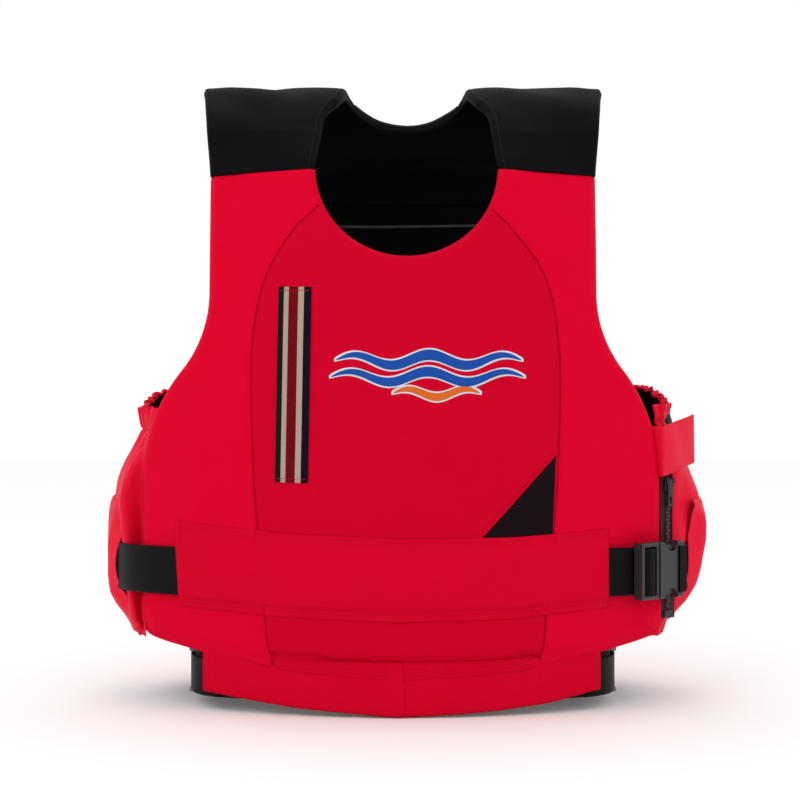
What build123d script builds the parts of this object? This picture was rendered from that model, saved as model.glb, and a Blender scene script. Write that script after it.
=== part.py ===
"""Side-entry foam life jacket, upright as worn, in millimetres.

+X is to the right as seen from the front, +Y points to the back, +Z is up. The origin is on the
surface that the hems stand on, under the middle of the jacket. Left and right are as seen from the
front. Each separate piece of the jacket is one node, written to parts/NAME.step.
"""

import math
import os

from build123d import *

# ---- driving dimensions -------------------------------------------------------------------------
wrap_radius = 395.0  # plan radius of the pads' outer faces
wrap_centre = 265.0  # that radius's centre, behind the front pad and before the back pad
pad_thickness = 34.0
pad_half_width = 216.0
pad_bottom = 44.8
pad_top = 446.0
chest_half_width = 157.0  # between the armholes
armhole_straight_end = 345.0
armhole_bottom = 190.0
neck_radius = 75.0
neck_centre_z = 448.0
fabric = 1.2
gap = 0.3  # left between faces that lie on each other

arch_centre_z = 436.7  # axis of the shoulder arches, along X
arch_radius = 90.3
arch_thickness = 12.0
shoulder_flare = 16.0  # how much wider the shoulders are at their ridge
yoke_split_y = 30.0
neck_back_y = 56.0
neck_ridge_half = 60.0
back_seam_z = 417.0
sling_half_width = 20.0
sling_x = 117.0

side_extreme = {60: 236.0, 96: 246.0, 172: 246.0, 200: 241.0, 228: 236.0, 248: 230.0}  # height: half width
side_radius = 86.9
side_thickness = 8.0
side_half_depth = 46.0

cover_centre = 169.9
cover_radius = 87.6
cover_bottom, cover_top = 64.0, 168.0
cover_half_depth = 45.0

webbing = 38.0  # waist belt width
belt_z = 115.0
belt_thickness = 2.0
belt_radius = 397.5
side_arc_radius = 85.7
side_arc_centre = math.sqrt((belt_radius - side_arc_radius) ** 2 - wrap_centre**2)
belt_end_x = 100.0  # where the fixed belt stops inside the front tunnel
belt_return_y = -30.0  # where it starts again beside the socket

buckle_angle = 40.0  # between the buckle's length and +X, in plan
buckle_width = 47.0
buckle_thickness = 11.0
socket_mouth, socket_end = -15.0, 13.5  # along the buckle, from the pad's corner
plug_end = -36.3
bar_at = -26.0
wall = 2.2
press_notch = 8.0
notch_at = -0.8
arm_y = 15.5
arm_half_thick = 2.4

strap_width = 30.0
strap_z = 27.0
strap_thickness = 1.8
strap_radius = 383.8
strap_side_x = 178.0
strap_corner_radius = 45.0
glide_y = -28.0
glide_length = 26.0
glide_bar = 4.0

zip_bottom, zip_top = 72.0, 197.0
tooth_pitch = 3.0
slider_z = 184.0
slider_length = 12.0
pin_offset = 4.4  # the pull's pin, out from the zip
pull_length, pull_width = 22.0, 5.0

flap_bottom, flap_top = 192.0, 236.0
flap_rise = 10.0

os.makedirs("parts", exist_ok=True)


# ---- solids from solids -------------------------------------------------------------------------
def combined(base, within=None, without=None):
    """A solid, cut down to what lies within one solid and outside another."""
    with BuildPart() as piece:
        add(base)
        if within is not None:
            add(within, mode=Mode.INTERSECT)
        if without is not None:
            add(without, mode=Mode.SUBTRACT)
    return piece.part


def block_of(x_from, x_to, y_from, y_to, z_from, z_to):
    """A plain block between the given coordinates."""
    with BuildPart() as solid:
        with Locations(((x_from + x_to) / 2, (y_from + y_to) / 2, (z_from + z_to) / 2)):
            Box(x_to - x_from, y_to - y_from, z_to - z_from)
    return solid.part


def mirrored(solid, *planes):
    """The mirror image of a solid in each of the planes in turn."""
    for plane in planes:
        solid = mirror(solid, about=plane, mode=Mode.PRIVATE)
    return solid


def trimmed(layer, outline):
    """The part of a solid that lies within a front-view outline."""
    with BuildPart() as piece:
        add(layer)
        extrude(outline, amount=200.0, both=True, mode=Mode.INTERSECT)
    return piece.part


left_half = block_of(-400, 0, -350, 350, -100, 700)
right_half = block_of(0, 400, -350, 350, -100, 700)


# ---- pads: front and back -----------------------------------------------------------------------
def lean(z):
    """How far a pad's faces have moved towards the neck at height z."""
    return 22.0 * (max(0.0, z - 280.0) / 164.0) ** 2


def pad_depth(z):
    """A pad's thickness at height z: full in the middle, thinner at the hem and the shoulder."""
    if z < 90:
        return pad_thickness - 10.0 * (90.0 - z) / 70.0
    if z > 300:
        return pad_thickness - 22.0 * (z - 300.0) / 152.0
    return pad_thickness


def wrap_y(x, radius, z):
    """Y of the front wrap surface of that plan radius."""
    return wrap_centre + lean(z) - math.sqrt(radius**2 - x**2)


def pad_layer(outer, inner):
    """A front layer between two depths under the outer face, each a function of height, untrimmed."""
    half = 232.0
    with BuildPart() as layer:
        for z in (20.0, 90.0, 300.0, 350.0, 400.0, 452.0):
            r_out = wrap_radius - outer(z)
            r_in = wrap_radius - inner(z)
            with BuildSketch(Plane.XY.offset(z)):
                with BuildLine():
                    front = ThreePointArc(
                        (-half, wrap_y(half, r_out, z)), (0, wrap_y(0, r_out, z)), (half, wrap_y(half, r_out, z))
                    )
                    back = ThreePointArc(
                        (half, wrap_y(half, r_in, z)), (0, wrap_y(0, r_in, z)), (-half, wrap_y(half, r_in, z))
                    )
                    Line(front @ 1, back @ 0)
                    Line(back @ 1, front @ 0)
                make_face()
        loft(ruled=True)
    return layer.part


def pad_outline(with_neck, inset=0.0):
    """The front-view outline of a pad, as a face in X and Z."""
    drop = armhole_straight_end - armhole_bottom
    turn = 2 * math.degrees(math.atan2(pad_half_width - chest_half_width, drop))
    both_radii = drop / math.sin(math.radians(turn))
    upper_radius = 100.0
    hem_radius = 1200.0
    corner_z = pad_bottom + pad_half_width**2 / (2 * hem_radius)
    with BuildSketch(Plane.XZ) as outline:
        with BuildLine():
            straight = Line((chest_half_width, pad_top), (chest_half_width, armhole_straight_end))
            upper = JernArc(straight @ 1, (0, -1), upper_radius, turn)
            lower = JernArc(upper @ 1, upper % 1, both_radii - upper_radius, -turn)
            Line(lower @ 1, (pad_half_width, corner_z))
            ThreePointArc(
                (pad_half_width, corner_z),
                (pad_half_width / 2, pad_bottom + pad_half_width**2 / (8 * hem_radius)),
                (0, pad_bottom),
            )
            Line((0, pad_top), straight @ 0)
            mirror(about=Plane.YZ)
        make_face()
        fillet(outline.vertices().group_by(Axis.Y)[1], radius=34.0)
        if inset:
            offset(amount=-inset, kind=Kind.INTERSECTION)
        if with_neck:
            with Locations((0, neck_centre_z)):
                Circle(neck_radius + inset, mode=Mode.SUBTRACT)
    return outline.sketch


with BuildPart() as seam_region:
    with BuildSketch(Plane.XZ):
        with BuildLine():
            princess = ThreePointArc((58, 460), (105, 372), (123, 300))
            Polyline(princess @ 1, (119, 150), (112, 84), (109, 20), (0, 20))
            Line((0, 460), princess @ 0)
            mirror(about=Plane.YZ)
        make_face()
    extrude(amount=200.0, both=True)

for side, has_neck in (("front", True), ("back", False)):
    # The fabric covers the outer face and all four edges; the lining covers the inner face.
    cover_layer = pad_layer(lambda z: 0.0, lambda z: pad_depth(z) - fabric)
    inside_layer = pad_layer(lambda z: fabric, lambda z: pad_depth(z))
    outer_foam = pad_layer(lambda z: fabric + gap, lambda z: pad_depth(z) / 2 - 0.2)
    inner_foam = pad_layer(lambda z: pad_depth(z) / 2 + 0.2, lambda z: pad_depth(z) - fabric - gap)
    lining_layer = pad_layer(lambda z: pad_depth(z) - fabric + 0.1, lambda z: pad_depth(z))
    outline = pad_outline(has_neck)
    shell = combined(trimmed(cover_layer, outline), without=trimmed(inside_layer, pad_outline(has_neck, fabric)))
    beside = combined(shell, without=seam_region.part)
    lining = trimmed(lining_layer, outline)
    pieces = {
        f"{side}_panel_centre": combined(shell, within=seam_region.part),
        f"{side}_panel_left": combined(beside, within=left_half),
        f"{side}_panel_right": combined(beside, within=right_half),
        f"{side}_foam_outer": trimmed(outer_foam, pad_outline(has_neck, 4.0)),
        f"{side}_foam_inner": trimmed(inner_foam, pad_outline(has_neck, 4.0)),
    }
    if has_neck:
        pieces["front_lining"] = lining
    else:
        pieces["back_lining_lower"] = combined(lining, within=block_of(-300, 300, -350, 350, 0, back_seam_z - 2))
        pieces["back_lining_upper"] = combined(lining, within=block_of(-300, 300, -350, 350, back_seam_z + 2, 600))
    for name, solid in pieces.items():
        with BuildPart() as piece:
            add(solid if has_neck else mirrored(solid, Plane.XZ))
        piece.part.label = name
        export_step(piece.part, f"parts/{name}.step")

with BuildPart() as back_lining_piping:
    with BuildSketch(Plane.XY.offset(back_seam_z - 1.6)):
        with Locations((0, -wrap_centre - lean(back_seam_z))):
            Circle(wrap_radius - pad_depth(back_seam_z))
            Circle(wrap_radius - pad_depth(back_seam_z) - 3.0, mode=Mode.SUBTRACT)
        with Locations((0, 100)):
            Rectangle(2 * chest_half_width - 8, 200, mode=Mode.INTERSECT)
    extrude(amount=3.2)
back_lining_piping.part.label = "back_lining_piping"
export_step(back_lining_piping.part, "parts/back_lining_piping.step")


# ---- shoulders and back yoke --------------------------------------------------------------------
yoke_bottom = pad_top + 0.3
arch_foot = 478.0  # below this the shoulders curve round the body as the pads do
sling_mid = arch_radius - arch_thickness / 2


def arch(outer, inner, x_from, x_to):
    """The upper part of a ring over the shoulder, along X."""
    with BuildPart() as ring:
        with BuildSketch(Plane.YZ.offset(x_from)):
            with Locations((0, arch_centre_z)):
                Circle(outer)
                Circle(inner, mode=Mode.SUBTRACT)
            with Locations((0, arch_foot)):
                Rectangle(300, 200, align=(Align.CENTER, Align.MIN), mode=Mode.INTERSECT)
        extrude(amount=x_to - x_from)
    return ring.part


def arch_foot_slab():
    """The front slab that turns the pad's curved top edge into the straight arch."""
    half = 180.0
    with BuildPart() as slab:
        for z, curved in ((yoke_bottom, True), (arch_foot, False)):
            with BuildSketch(Plane.XY.offset(z)):
                with BuildLine():
                    if curved:
                        depths = (0.0, pad_depth(z))
                        near = [(x, wrap_y(x, wrap_radius - depths[0], z)) for x in (-half, 0, half)]
                        far = [(x, wrap_y(x, wrap_radius - depths[1], z)) for x in (half, 0, -half)]
                    else:
                        rise = z - arch_centre_z
                        near = [(x, -math.sqrt(arch_radius**2 - rise**2)) for x in (-half, 0, half)]
                        inner = arch_radius - arch_thickness
                        far = [(x, -math.sqrt(inner**2 - rise**2)) for x in (half, 0, -half)]
                    if curved:
                        one = ThreePointArc(*near)
                        two = ThreePointArc(*far)
                    else:
                        one = Line(near[0], near[2])
                        two = Line(far[0], far[2])
                    Line(one @ 1, two @ 0)
                    Line(two @ 1, one @ 0)
                make_face()
        loft(ruled=True)
    return slab.part


full_arch = arch(arch_radius, arch_radius - arch_thickness, -180.0, 180.0)
front_foot = arch_foot_slab()
back_foot = mirrored(front_foot, Plane.XZ)
sling_slots = [
    arch(sling_mid + 1.3, sling_mid - 1.3, x - sling_half_width - 0.5, x + sling_half_width + 0.5)
    for x in (-sling_x, sling_x)
]
with BuildPart() as shoulders:
    add(full_arch)
    add(front_foot)
    add(back_foot)
    with BuildSketch(Plane.XZ):
        with BuildLine():
            ridge_z = arch_centre_z + arch_radius + 1
            Polyline(
                (-chest_half_width, yoke_bottom - 1),
                (chest_half_width, yoke_bottom - 1),
                (chest_half_width + shoulder_flare, ridge_z),
                (-chest_half_width - shoulder_flare, ridge_z),
                close=True,
            )
        make_face()
    extrude(amount=150.0, both=True, mode=Mode.INTERSECT)
    with BuildSketch(Plane.XY.offset(400)):
        with BuildLine():
            side_y = neck_back_y - neck_ridge_half
            arc = ThreePointArc((neck_ridge_half, side_y), (0, neck_back_y), (-neck_ridge_half, side_y))
            Polyline(arc @ 1, (-neck_radius - 1, -140), (neck_radius + 1, -140), arc @ 0)
        make_face()
    extrude(amount=200.0, mode=Mode.SUBTRACT)
    for slot in sling_slots:
        add(slot, mode=Mode.SUBTRACT)

front_of_split = block_of(-300, 300, -200, yoke_split_y - gap, 300, 700)
behind_split = block_of(-300, 300, yoke_split_y, 200, 300, 700)
for side, name, half in ((-1, "left", left_half), (1, "right", right_half)):
    front_half = combined(shoulders.part, within=half)
    with BuildPart() as shoulder_pad:
        add(front_half)
        add(front_of_split, mode=Mode.INTERSECT)
    shoulder_pad.part.label = f"shoulder_pad_{name}"
    export_step(shoulder_pad.part, f"parts/shoulder_pad_{name}.step")
    sling = arch(sling_mid + 1, sling_mid - 1, side * sling_x - sling_half_width, side * sling_x + sling_half_width)
    with BuildPart() as shoulder_webbing:
        add(sling)
    shoulder_webbing.part.label = f"shoulder_webbing_{name}"
    export_step(shoulder_webbing.part, f"parts/shoulder_webbing_{name}.step")

with BuildPart() as back_yoke:
    add(shoulders.part)
    add(behind_split, mode=Mode.INTERSECT)
back_yoke.part.label = "back_yoke"
export_step(back_yoke.part, "parts/back_yoke.step")


# ---- side panels --------------------------------------------------------------------------------
def side_layer(outer, inner, half_depth):
    """A layer of the right side panel between two depths under its outer face."""
    with BuildPart() as layer:
        for z, extreme in side_extreme.items():
            with BuildSketch(Plane.XY.offset(z)):
                with Locations((extreme - side_radius, 0)):
                    Circle(side_radius - outer)
                    Circle(side_radius - inner, mode=Mode.SUBTRACT)
                with Locations((extreme, 0)):
                    Rectangle(90, 2 * half_depth, mode=Mode.INTERSECT)
        loft(ruled=True)
    return layer.part


def ring_sector(radius, tube, hollow, half_angle, centre_x, z):
    """A round bar or tube bent about a vertical axis, symmetric about Y."""
    start = math.radians(-half_angle)
    plane = Plane(
        origin=(centre_x, 0, z),
        x_dir=(math.cos(start), math.sin(start), 0),
        z_dir=(math.sin(start), -math.cos(start), 0),
    )
    with BuildPart() as bar:
        with BuildSketch(plane):
            with Locations((radius, 0)):
                Circle(tube)
                if hollow:
                    Circle(hollow, mode=Mode.SUBTRACT)
        revolve(axis=Axis((centre_x, 0, z), (0, 0, 1)), revolution_arc=2 * half_angle)
    return bar.part


hem_z = max(side_extreme) + 6.0
hem_centre = side_extreme[248] - side_radius
hem_radius = side_radius - side_thickness / 2

with BuildPart() as cover_shape:
    with BuildSketch(Plane.XY.offset(cover_bottom)):
        with Locations((cover_centre, 0)):
            Circle(cover_radius)
            Circle(cover_radius - 1.5, mode=Mode.SUBTRACT)
        with Locations((cover_centre + 30, 0)):
            Rectangle(120, 2 * cover_half_depth, mode=Mode.INTERSECT)
    extrude(amount=cover_top - cover_bottom)
    flange = 3.0
    for z in (cover_bottom, cover_top - flange):
        with BuildSketch(Plane.XY.offset(z)):
            with Locations((cover_centre, 0)):
                Circle(cover_radius - 1)
            with Locations((cover_centre + 30, 0)):
                Rectangle(120, 2 * cover_half_depth - 10, mode=Mode.INTERSECT)
            with Locations((side_extreme[96] - side_radius, 0)):
                Circle(side_radius + 0.6, mode=Mode.SUBTRACT)
        extrude(amount=flange)

side_pieces = {
    "panel": side_layer(0.0, 1.0, side_half_depth),
    "foam": side_layer(1.2, side_thickness - 1.2, side_half_depth - 1),
    "lining": side_layer(side_thickness - 1.0, side_thickness, side_half_depth),
    "hem": ring_sector(hem_radius, 5.5, 2.6, 33.0, hem_centre, hem_z),
    "elastic": ring_sector(hem_radius, 2.2, 0, 32.5, hem_centre, hem_z),
    "belt_cover": cover_shape.part,
}
for word, solid in side_pieces.items():
    for name in ("left", "right"):
        with BuildPart() as piece:
            add(solid if name == "right" else mirrored(solid, Plane.YZ))
        piece.part.label = f"side_{word}_{name}"
        export_step(piece.part, f"parts/side_{word}_{name}.step")

# ---- strips that join pads and side panels: a zip at the right front, plain gussets elsewhere ----
join_from = Vector(pad_half_width + 0.8, -54.0)
join_to = Vector(230.0, -46.5)
join_dir = (join_to - join_from).normalized()
join_out = Vector(join_dir.Y, -join_dir.X)
join_mid = (join_from + join_to) * 0.5


def join_plane(z, out=0.0):
    """Looks out of the strip: local X along it in plan, local Y up."""
    origin = join_mid + join_out * out
    return Plane(origin=(origin.X, origin.Y, z), x_dir=join_dir, z_dir=join_out)


def pin_plane():
    """Looks along the pin that the zip's pull swings on."""
    origin = join_mid + join_out * pin_offset
    return Plane(origin=(origin.X, origin.Y, slider_z + 4.0), x_dir=join_out, z_dir=join_dir)


def join_strip(bottom, top):
    """A flat strip across the valley between pad and side panel."""
    with BuildPart() as strip:
        with BuildSketch(join_plane((bottom + top) / 2)):
            Rectangle((join_to - join_from).length, top - bottom)
        extrude(amount=0.4, both=True)
    return strip.part


plain_strip = join_strip(64.0, zip_top)
gusset_solids = {
    "front_left": mirrored(plain_strip, Plane.YZ),
    "back_right": mirrored(plain_strip, Plane.XZ),
    "back_left": mirrored(plain_strip, Plane.YZ, Plane.XZ),
}
for name, solid in gusset_solids.items():
    with BuildPart() as side_gusset:
        add(solid)
    side_gusset.part.label = f"gusset_{name}"
    export_step(side_gusset.part, f"parts/gusset_{name}.step")

with BuildPart() as zip_tape:
    with BuildSketch(join_plane((zip_bottom + zip_top) / 2)):
        Rectangle((join_to - join_from).length, zip_top - zip_bottom)
    extrude(amount=0.4, both=True)
zip_tape.part.label = "zip_tape"
export_step(zip_tape.part, "parts/zip_tape.step")

# The coil is one ribbon with teeth that stagger along it.
with BuildPart() as zip_teeth:
    with BuildSketch(join_plane((zip_bottom + zip_top) / 2, 0.6)):
        Rectangle(2.6, zip_top - zip_bottom - 16)
    extrude(amount=0.7)
    for i in range(int((zip_top - zip_bottom - 20) / tooth_pitch)):
        with BuildSketch(join_plane(zip_bottom + 11 + i * tooth_pitch, 0.6)):
            with Locations((0.5 if i % 2 else -0.5, 0)):
                Rectangle(4.6, 1.9)
        extrude(amount=1.1)
zip_teeth.part.label = "zip_teeth"
export_step(zip_teeth.part, "parts/zip_teeth.step")

with BuildPart() as zip_bottom_stop:
    with BuildSketch(join_plane(zip_bottom + 3.5, 0.5)):
        RectangleRounded(8, 6, 1.0)
    extrude(amount=1.6)
zip_bottom_stop.part.label = "zip_bottom_stop"
export_step(zip_bottom_stop.part, "parts/zip_bottom_stop.step")

with BuildPart() as zip_slider:
    with BuildSketch(join_plane(slider_z, 2.0)):
        RectangleRounded(9.0, slider_length, 2.5)
    extrude(amount=1.1)
    with BuildSketch(join_plane(slider_z + 4.0, 3.0)):
        with Locations((-3.6, 0), (3.6, 0)):
            Rectangle(1.2, 3.6)
    extrude(amount=2.6)
    with BuildSketch(pin_plane()):
        Circle(0.8)
    extrude(amount=3.6, both=True)
zip_slider.part.label = "zip_slider"
export_step(zip_slider.part, "parts/zip_slider.step")

with BuildPart() as zip_pull:
    with BuildSketch(join_plane(slider_z + 4.0, pin_offset - 0.6)):
        RectangleRounded(pull_width, pull_length, 1.2, align=(Align.CENTER, Align.MAX))
        with Locations((0, 5.5 - pull_length)):
            SlotOverall(6.0, 2.0, rotation=90, mode=Mode.SUBTRACT)
    extrude(amount=1.2)
    with BuildSketch(pin_plane()):
        Circle(1.3)
    extrude(amount=pull_width / 2, both=True)
    with BuildSketch(pin_plane()):
        Circle(0.9)
    extrude(amount=10, both=True, mode=Mode.SUBTRACT)
zip_pull.part.label = "zip_pull"
export_step(zip_pull.part, "parts/zip_pull.step")


# ---- belt tunnels and waist belt ----------------------------------------------------------------
def wrap_band(outer, inner, bottom, top):
    """A band of the front wrap between two plan radii and two heights."""
    with BuildPart() as band:
        with BuildSketch(Plane.XY.offset(bottom)):
            with Locations((0, wrap_centre)):
                Circle(outer)
                Circle(inner, mode=Mode.SUBTRACT)
            with Locations((0, -100)):
                Rectangle(440, 200, mode=Mode.INTERSECT)
        extrude(amount=top - bottom)
    return band.part


def belt_tunnel(left, right, lower, upper):
    """A fabric tunnel sewn to a pad along its top and bottom, open at both ends.

    The lower and upper edges are arcs, each given by its heights at left, middle and right.
    """
    middle = (left + right) / 2
    with BuildSketch(Plane.XZ) as area:
        with BuildLine():
            low = ThreePointArc((left, lower[0]), (middle, lower[1]), (right, lower[2]))
            high = ThreePointArc((right, upper[2]), (middle, upper[1]), (left, upper[0]))
            Line(low @ 1, high @ 0)
            Line(high @ 1, low @ 0)
        make_face()
    blank = trimmed(wrap_band(wrap_radius + 6.0, wrap_radius + gap, 60.0, 170.0), area.sketch)
    half_hollow = webbing / 2 + 1.5
    hollow = wrap_band(wrap_radius + 4.8, wrap_radius, belt_z - half_hollow, belt_z + half_hollow)
    return combined(blank, without=hollow)


front_tunnel = belt_tunnel(-187.0, 168.0, (86.0, 78.0, 84.0), (155.0, 144.0, 148.0))
with BuildPart() as belt_tunnel_front:
    add(front_tunnel)
belt_tunnel_front.part.label = "belt_tunnel_front"
export_step(belt_tunnel_front.part, "parts/belt_tunnel_front.step")

back_tunnel = mirrored(belt_tunnel(-180.0, 180.0, (84.0, 80.0, 84.0), (150.0, 146.0, 150.0)), Plane.XZ)
with BuildPart() as belt_tunnel_back:
    add(back_tunnel)
belt_tunnel_back.part.label = "belt_tunnel_back"
export_step(belt_tunnel_back.part, "parts/belt_tunnel_back.step")


def belt_ring(offset_out):
    """The belt's closed plan line, moved outwards by offset_out, as a face."""
    half = math.degrees(math.atan2(side_arc_centre, wrap_centre))
    wide = 180.0 - 2 * half
    with BuildSketch(Plane.XY.offset(belt_z - webbing / 2)) as face:
        with BuildLine():
            CenterArc((0, wrap_centre), belt_radius + offset_out, -90 - half, 2 * half)
            CenterArc((side_arc_centre, 0), side_arc_radius + offset_out, -90 + half, wide)
            CenterArc((0, -wrap_centre), belt_radius + offset_out, 90 - half, 2 * half)
            CenterArc((-side_arc_centre, 0), side_arc_radius + offset_out, 90 + half, wide)
        make_face()
    return face.sketch


belt_outer_face = belt_ring(belt_thickness / 2)
belt_inner_face = belt_ring(-belt_thickness / 2)
with BuildPart() as waist_belt:
    extrude(belt_outer_face, amount=webbing)
    extrude(belt_inner_face, amount=webbing, mode=Mode.SUBTRACT)
    with Locations((belt_end_x, belt_return_y, belt_z)):
        Box(300, 300, 60, align=(Align.MIN, Align.MAX, Align.CENTER), mode=Mode.SUBTRACT)
waist_belt.part.label = "waist_belt"
export_step(waist_belt.part, "parts/waist_belt.step")


# ---- buckle: local X along it to the back, local Y up, local Z outwards ---------------------------
turn = math.radians(buckle_angle)
along = Vector(math.cos(turn), math.sin(turn), 0)
outward = Vector(math.sin(turn), -math.cos(turn), 0)
pad_corner = Vector(pad_half_width, wrap_centre - math.sqrt(wrap_radius**2 - pad_half_width**2), belt_z)
buckle_origin = pad_corner + outward * (2.0 + buckle_thickness / 2)
buckle_plane = Plane(origin=buckle_origin, x_dir=along, z_dir=outward)
half_width = buckle_width / 2
half_thick = buckle_thickness / 2


def at_buckle(x, y, z):
    """World position of a point given in the buckle's frame."""
    return buckle_origin + along * x + Vector(0, 0, y) + outward * z


def slab_face(x_from, x_to, y_half):
    """A rectangle in the buckle's middle plane."""
    with BuildSketch(buckle_plane) as face:
        with Locations(((x_from + x_to) / 2, 0)):
            Rectangle(x_to - x_from, 2 * y_half)
    return face.sketch


def rod_face(x, z_out, radius, hollow=0.0):
    """A level disc or ring beside the buckle's axis."""
    with BuildSketch(Plane(origin=at_buckle(x, 0, z_out), z_dir=(0, 0, 1))) as face:
        Circle(radius)
        if hollow:
            Circle(hollow, mode=Mode.SUBTRACT)
    return face.sketch


socket_block = slab_face(socket_mouth, socket_end, half_width)
socket_cavity = slab_face(socket_mouth - 1, socket_end - 9.0, half_width - wall)
socket_slot = slab_face(socket_end - 6.4, socket_end - 3.5, webbing / 2 + 0.6)
plug_block = slab_face(plug_end, socket_mouth - 0.5, half_width)
plug_window = slab_face(plug_end + 3.2, bar_at + 7.5, webbing / 2 + 1.2)
plug_tongue = slab_face(socket_mouth - 1, socket_end - 13.5, 3.0)
plug_bar = rod_face(bar_at, 0, 2.0)
roll_ring = rod_face(bar_at, 0, 4.9, 2.3)
loop_block = slab_face(socket_end - 6.1, socket_end + 2.0, webbing / 2)
loop_window = slab_face(socket_end - 3.8, socket_end + 0.3, webbing / 2 + 1)


def runs_along(edge):
    """Whether an edge lies along the buckle."""
    return abs((edge % 0.5).dot(along)) > 0.99


with BuildPart() as buckle_socket:
    extrude(socket_block, amount=half_thick, both=True)
    fillet(buckle_socket.edges().filter_by(runs_along), radius=2.4)
    extrude(socket_cavity, amount=half_thick - wall + 0.4, both=True, mode=Mode.SUBTRACT)
    extrude(socket_slot, amount=half_thick + 1, both=True, mode=Mode.SUBTRACT)
    with BuildSketch(buckle_plane):
        with Locations((notch_at, -half_width), (notch_at, half_width)):
            Circle(press_notch)
    extrude(amount=half_thick + 1, both=True, mode=Mode.SUBTRACT)
buckle_socket.part.label = "buckle_socket"
export_step(buckle_socket.part, "parts/buckle_socket.step")

with BuildPart() as buckle_plug:
    extrude(plug_block, amount=half_thick - 1.0, both=True)
    fillet(buckle_plug.edges().filter_by(runs_along), radius=2.0)
    extrude(plug_window, amount=half_thick + 1, both=True, mode=Mode.SUBTRACT)
    extrude(plug_bar, amount=webbing / 2 + 2, both=True)
    extrude(plug_tongue, amount=2.0, both=True)
buckle_plug.part.label = "buckle_plug"
export_step(buckle_plug.part, "parts/buckle_plug.step")

arm_pivot = socket_mouth + 2.2
for side, name in ((-1, "lower"), (1, "upper")):
    with BuildPart() as buckle_arm:
        with BuildSketch(buckle_plane):
            with Locations((arm_pivot, side * arm_y)):
                Circle(2.0)
            with BuildLine():
                Polyline(
                    (arm_pivot, side * (arm_y - 1.6)),
                    (3.0, side * (arm_y - 0.2)),
                    (3.0, side * (arm_y + 3.2)),
                    (0.5, side * (arm_y + 5.2)),
                    (-6.5, side * (arm_y + 5.2)),
                    (-8.5, side * (arm_y + 2.4)),
                    (arm_pivot, side * (arm_y + 1.6)),
                    close=True,
                )
            make_face()
        extrude(amount=arm_half_thick, both=True)
    buckle_arm.part.label = f"buckle_arm_{name}"
    export_step(buckle_arm.part, f"parts/buckle_arm_{name}.step")

with BuildPart() as belt_roll:
    extrude(roll_ring, amount=webbing / 2, both=True)
belt_roll.part.label = "belt_roll"
export_step(belt_roll.part, "parts/belt_roll.step")

loop_back = at_buckle(socket_end + 1.2, 0, 0)
ring_start = Vector(side_arc_centre + math.sqrt(side_arc_radius**2 - belt_return_y**2), belt_return_y, belt_z)
with BuildPart() as belt_socket_loop:
    extrude(loop_block, amount=half_thick + 1.6, both=True)
    extrude(loop_window, amount=half_thick + 0.3, both=True, mode=Mode.SUBTRACT)
    with BuildSketch(Plane.XY.offset(belt_z - webbing / 2)):
        with BuildLine():
            run = Line((loop_back.X, loop_back.Y), (ring_start.X - 0.5, ring_start.Y - 1.5))
        trace(line_width=belt_thickness)
    extrude(amount=webbing)
belt_socket_loop.part.label = "belt_socket_loop"
export_step(belt_socket_loop.part, "parts/belt_socket_loop.step")

# The belt's other end slides out of the front tunnel and up to the roll on the plug's bar.
mouth_x = 167.0
belt_depth = -half_thick - 0.4 - belt_thickness / 2  # behind the plug's end bar
bar_front = at_buckle(plug_end - 3, 0, belt_depth)
roll_back = at_buckle(bar_at, 0, belt_depth)


def belt_line(x):
    """A point of the belt's line inside the front tunnel."""
    return (x, wrap_centre - math.sqrt(belt_radius**2 - x**2))


with BuildPart() as waist_belt_end:
    with BuildSketch(Plane.XY.offset(belt_z - webbing / 2)):
        with BuildLine():
            inside = ThreePointArc(
                belt_line(belt_end_x + 1), belt_line((belt_end_x + mouth_x) / 2), belt_line(mouth_x)
            )
            Polyline(inside @ 1, (bar_front.X, bar_front.Y), (roll_back.X, roll_back.Y))
        trace(line_width=belt_thickness - 0.4)
    extrude(amount=webbing)
waist_belt_end.part.label = "waist_belt_end"
export_step(waist_belt_end.part, "parts/waist_belt_end.step")

# ---- storm flap over the zip's top --------------------------------------------------------------
flap_hinge = Vector(pad_half_width + 1.4, pad_corner.Y - 1.4)
flap_tip = Vector(250.0, -22.0)
flap_dir = (flap_tip - flap_hinge).normalized()
flap_out = Vector(flap_dir.Y, -flap_dir.X)
flap_length = (flap_tip - flap_hinge).length
half_flap = (flap_top - flap_bottom) / 2


def flap_plane(out):
    """The flap's own plane: local X from hinge to free end, local Y up."""
    base = flap_hinge + flap_out * out
    return Plane(origin=(base.X, base.Y, (flap_bottom + flap_top) / 2), x_dir=flap_dir, z_dir=flap_out)


with BuildPart() as storm_flap:
    with BuildSketch(flap_plane(-0.8)):
        with BuildLine():
            Polyline(
                (1.0, -half_flap),
                (flap_length, -half_flap + flap_rise),
                (flap_length - 3, half_flap + flap_rise),
                (1.0, half_flap),
                close=True,
            )
        make_face()
    extrude(amount=1.6)
storm_flap.part.label = "storm_flap"
export_step(storm_flap.part, "parts/storm_flap.step")

with BuildPart() as flap_hook_patch:
    with BuildSketch(flap_plane(-2.0)):
        with Locations((flap_length - 15.0, flap_rise - 2.0)):
            Rectangle(22.0, 32.0)
    extrude(amount=1.2)
flap_hook_patch.part.label = "flap_hook_patch"
export_step(flap_hook_patch.part, "parts/flap_hook_patch.step")

loop_skin = side_layer(-1.4, -0.2, 40.0)
loop_area = block_of(200, 300, -38, -14, flap_bottom + 16, flap_top + 8)
with BuildPart() as flap_loop_patch:
    add(loop_skin)
    add(loop_area, mode=Mode.INTERSECT)
flap_loop_patch.part.label = "flap_loop_patch"
export_step(flap_loop_patch.part, "parts/flap_loop_patch.step")

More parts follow.
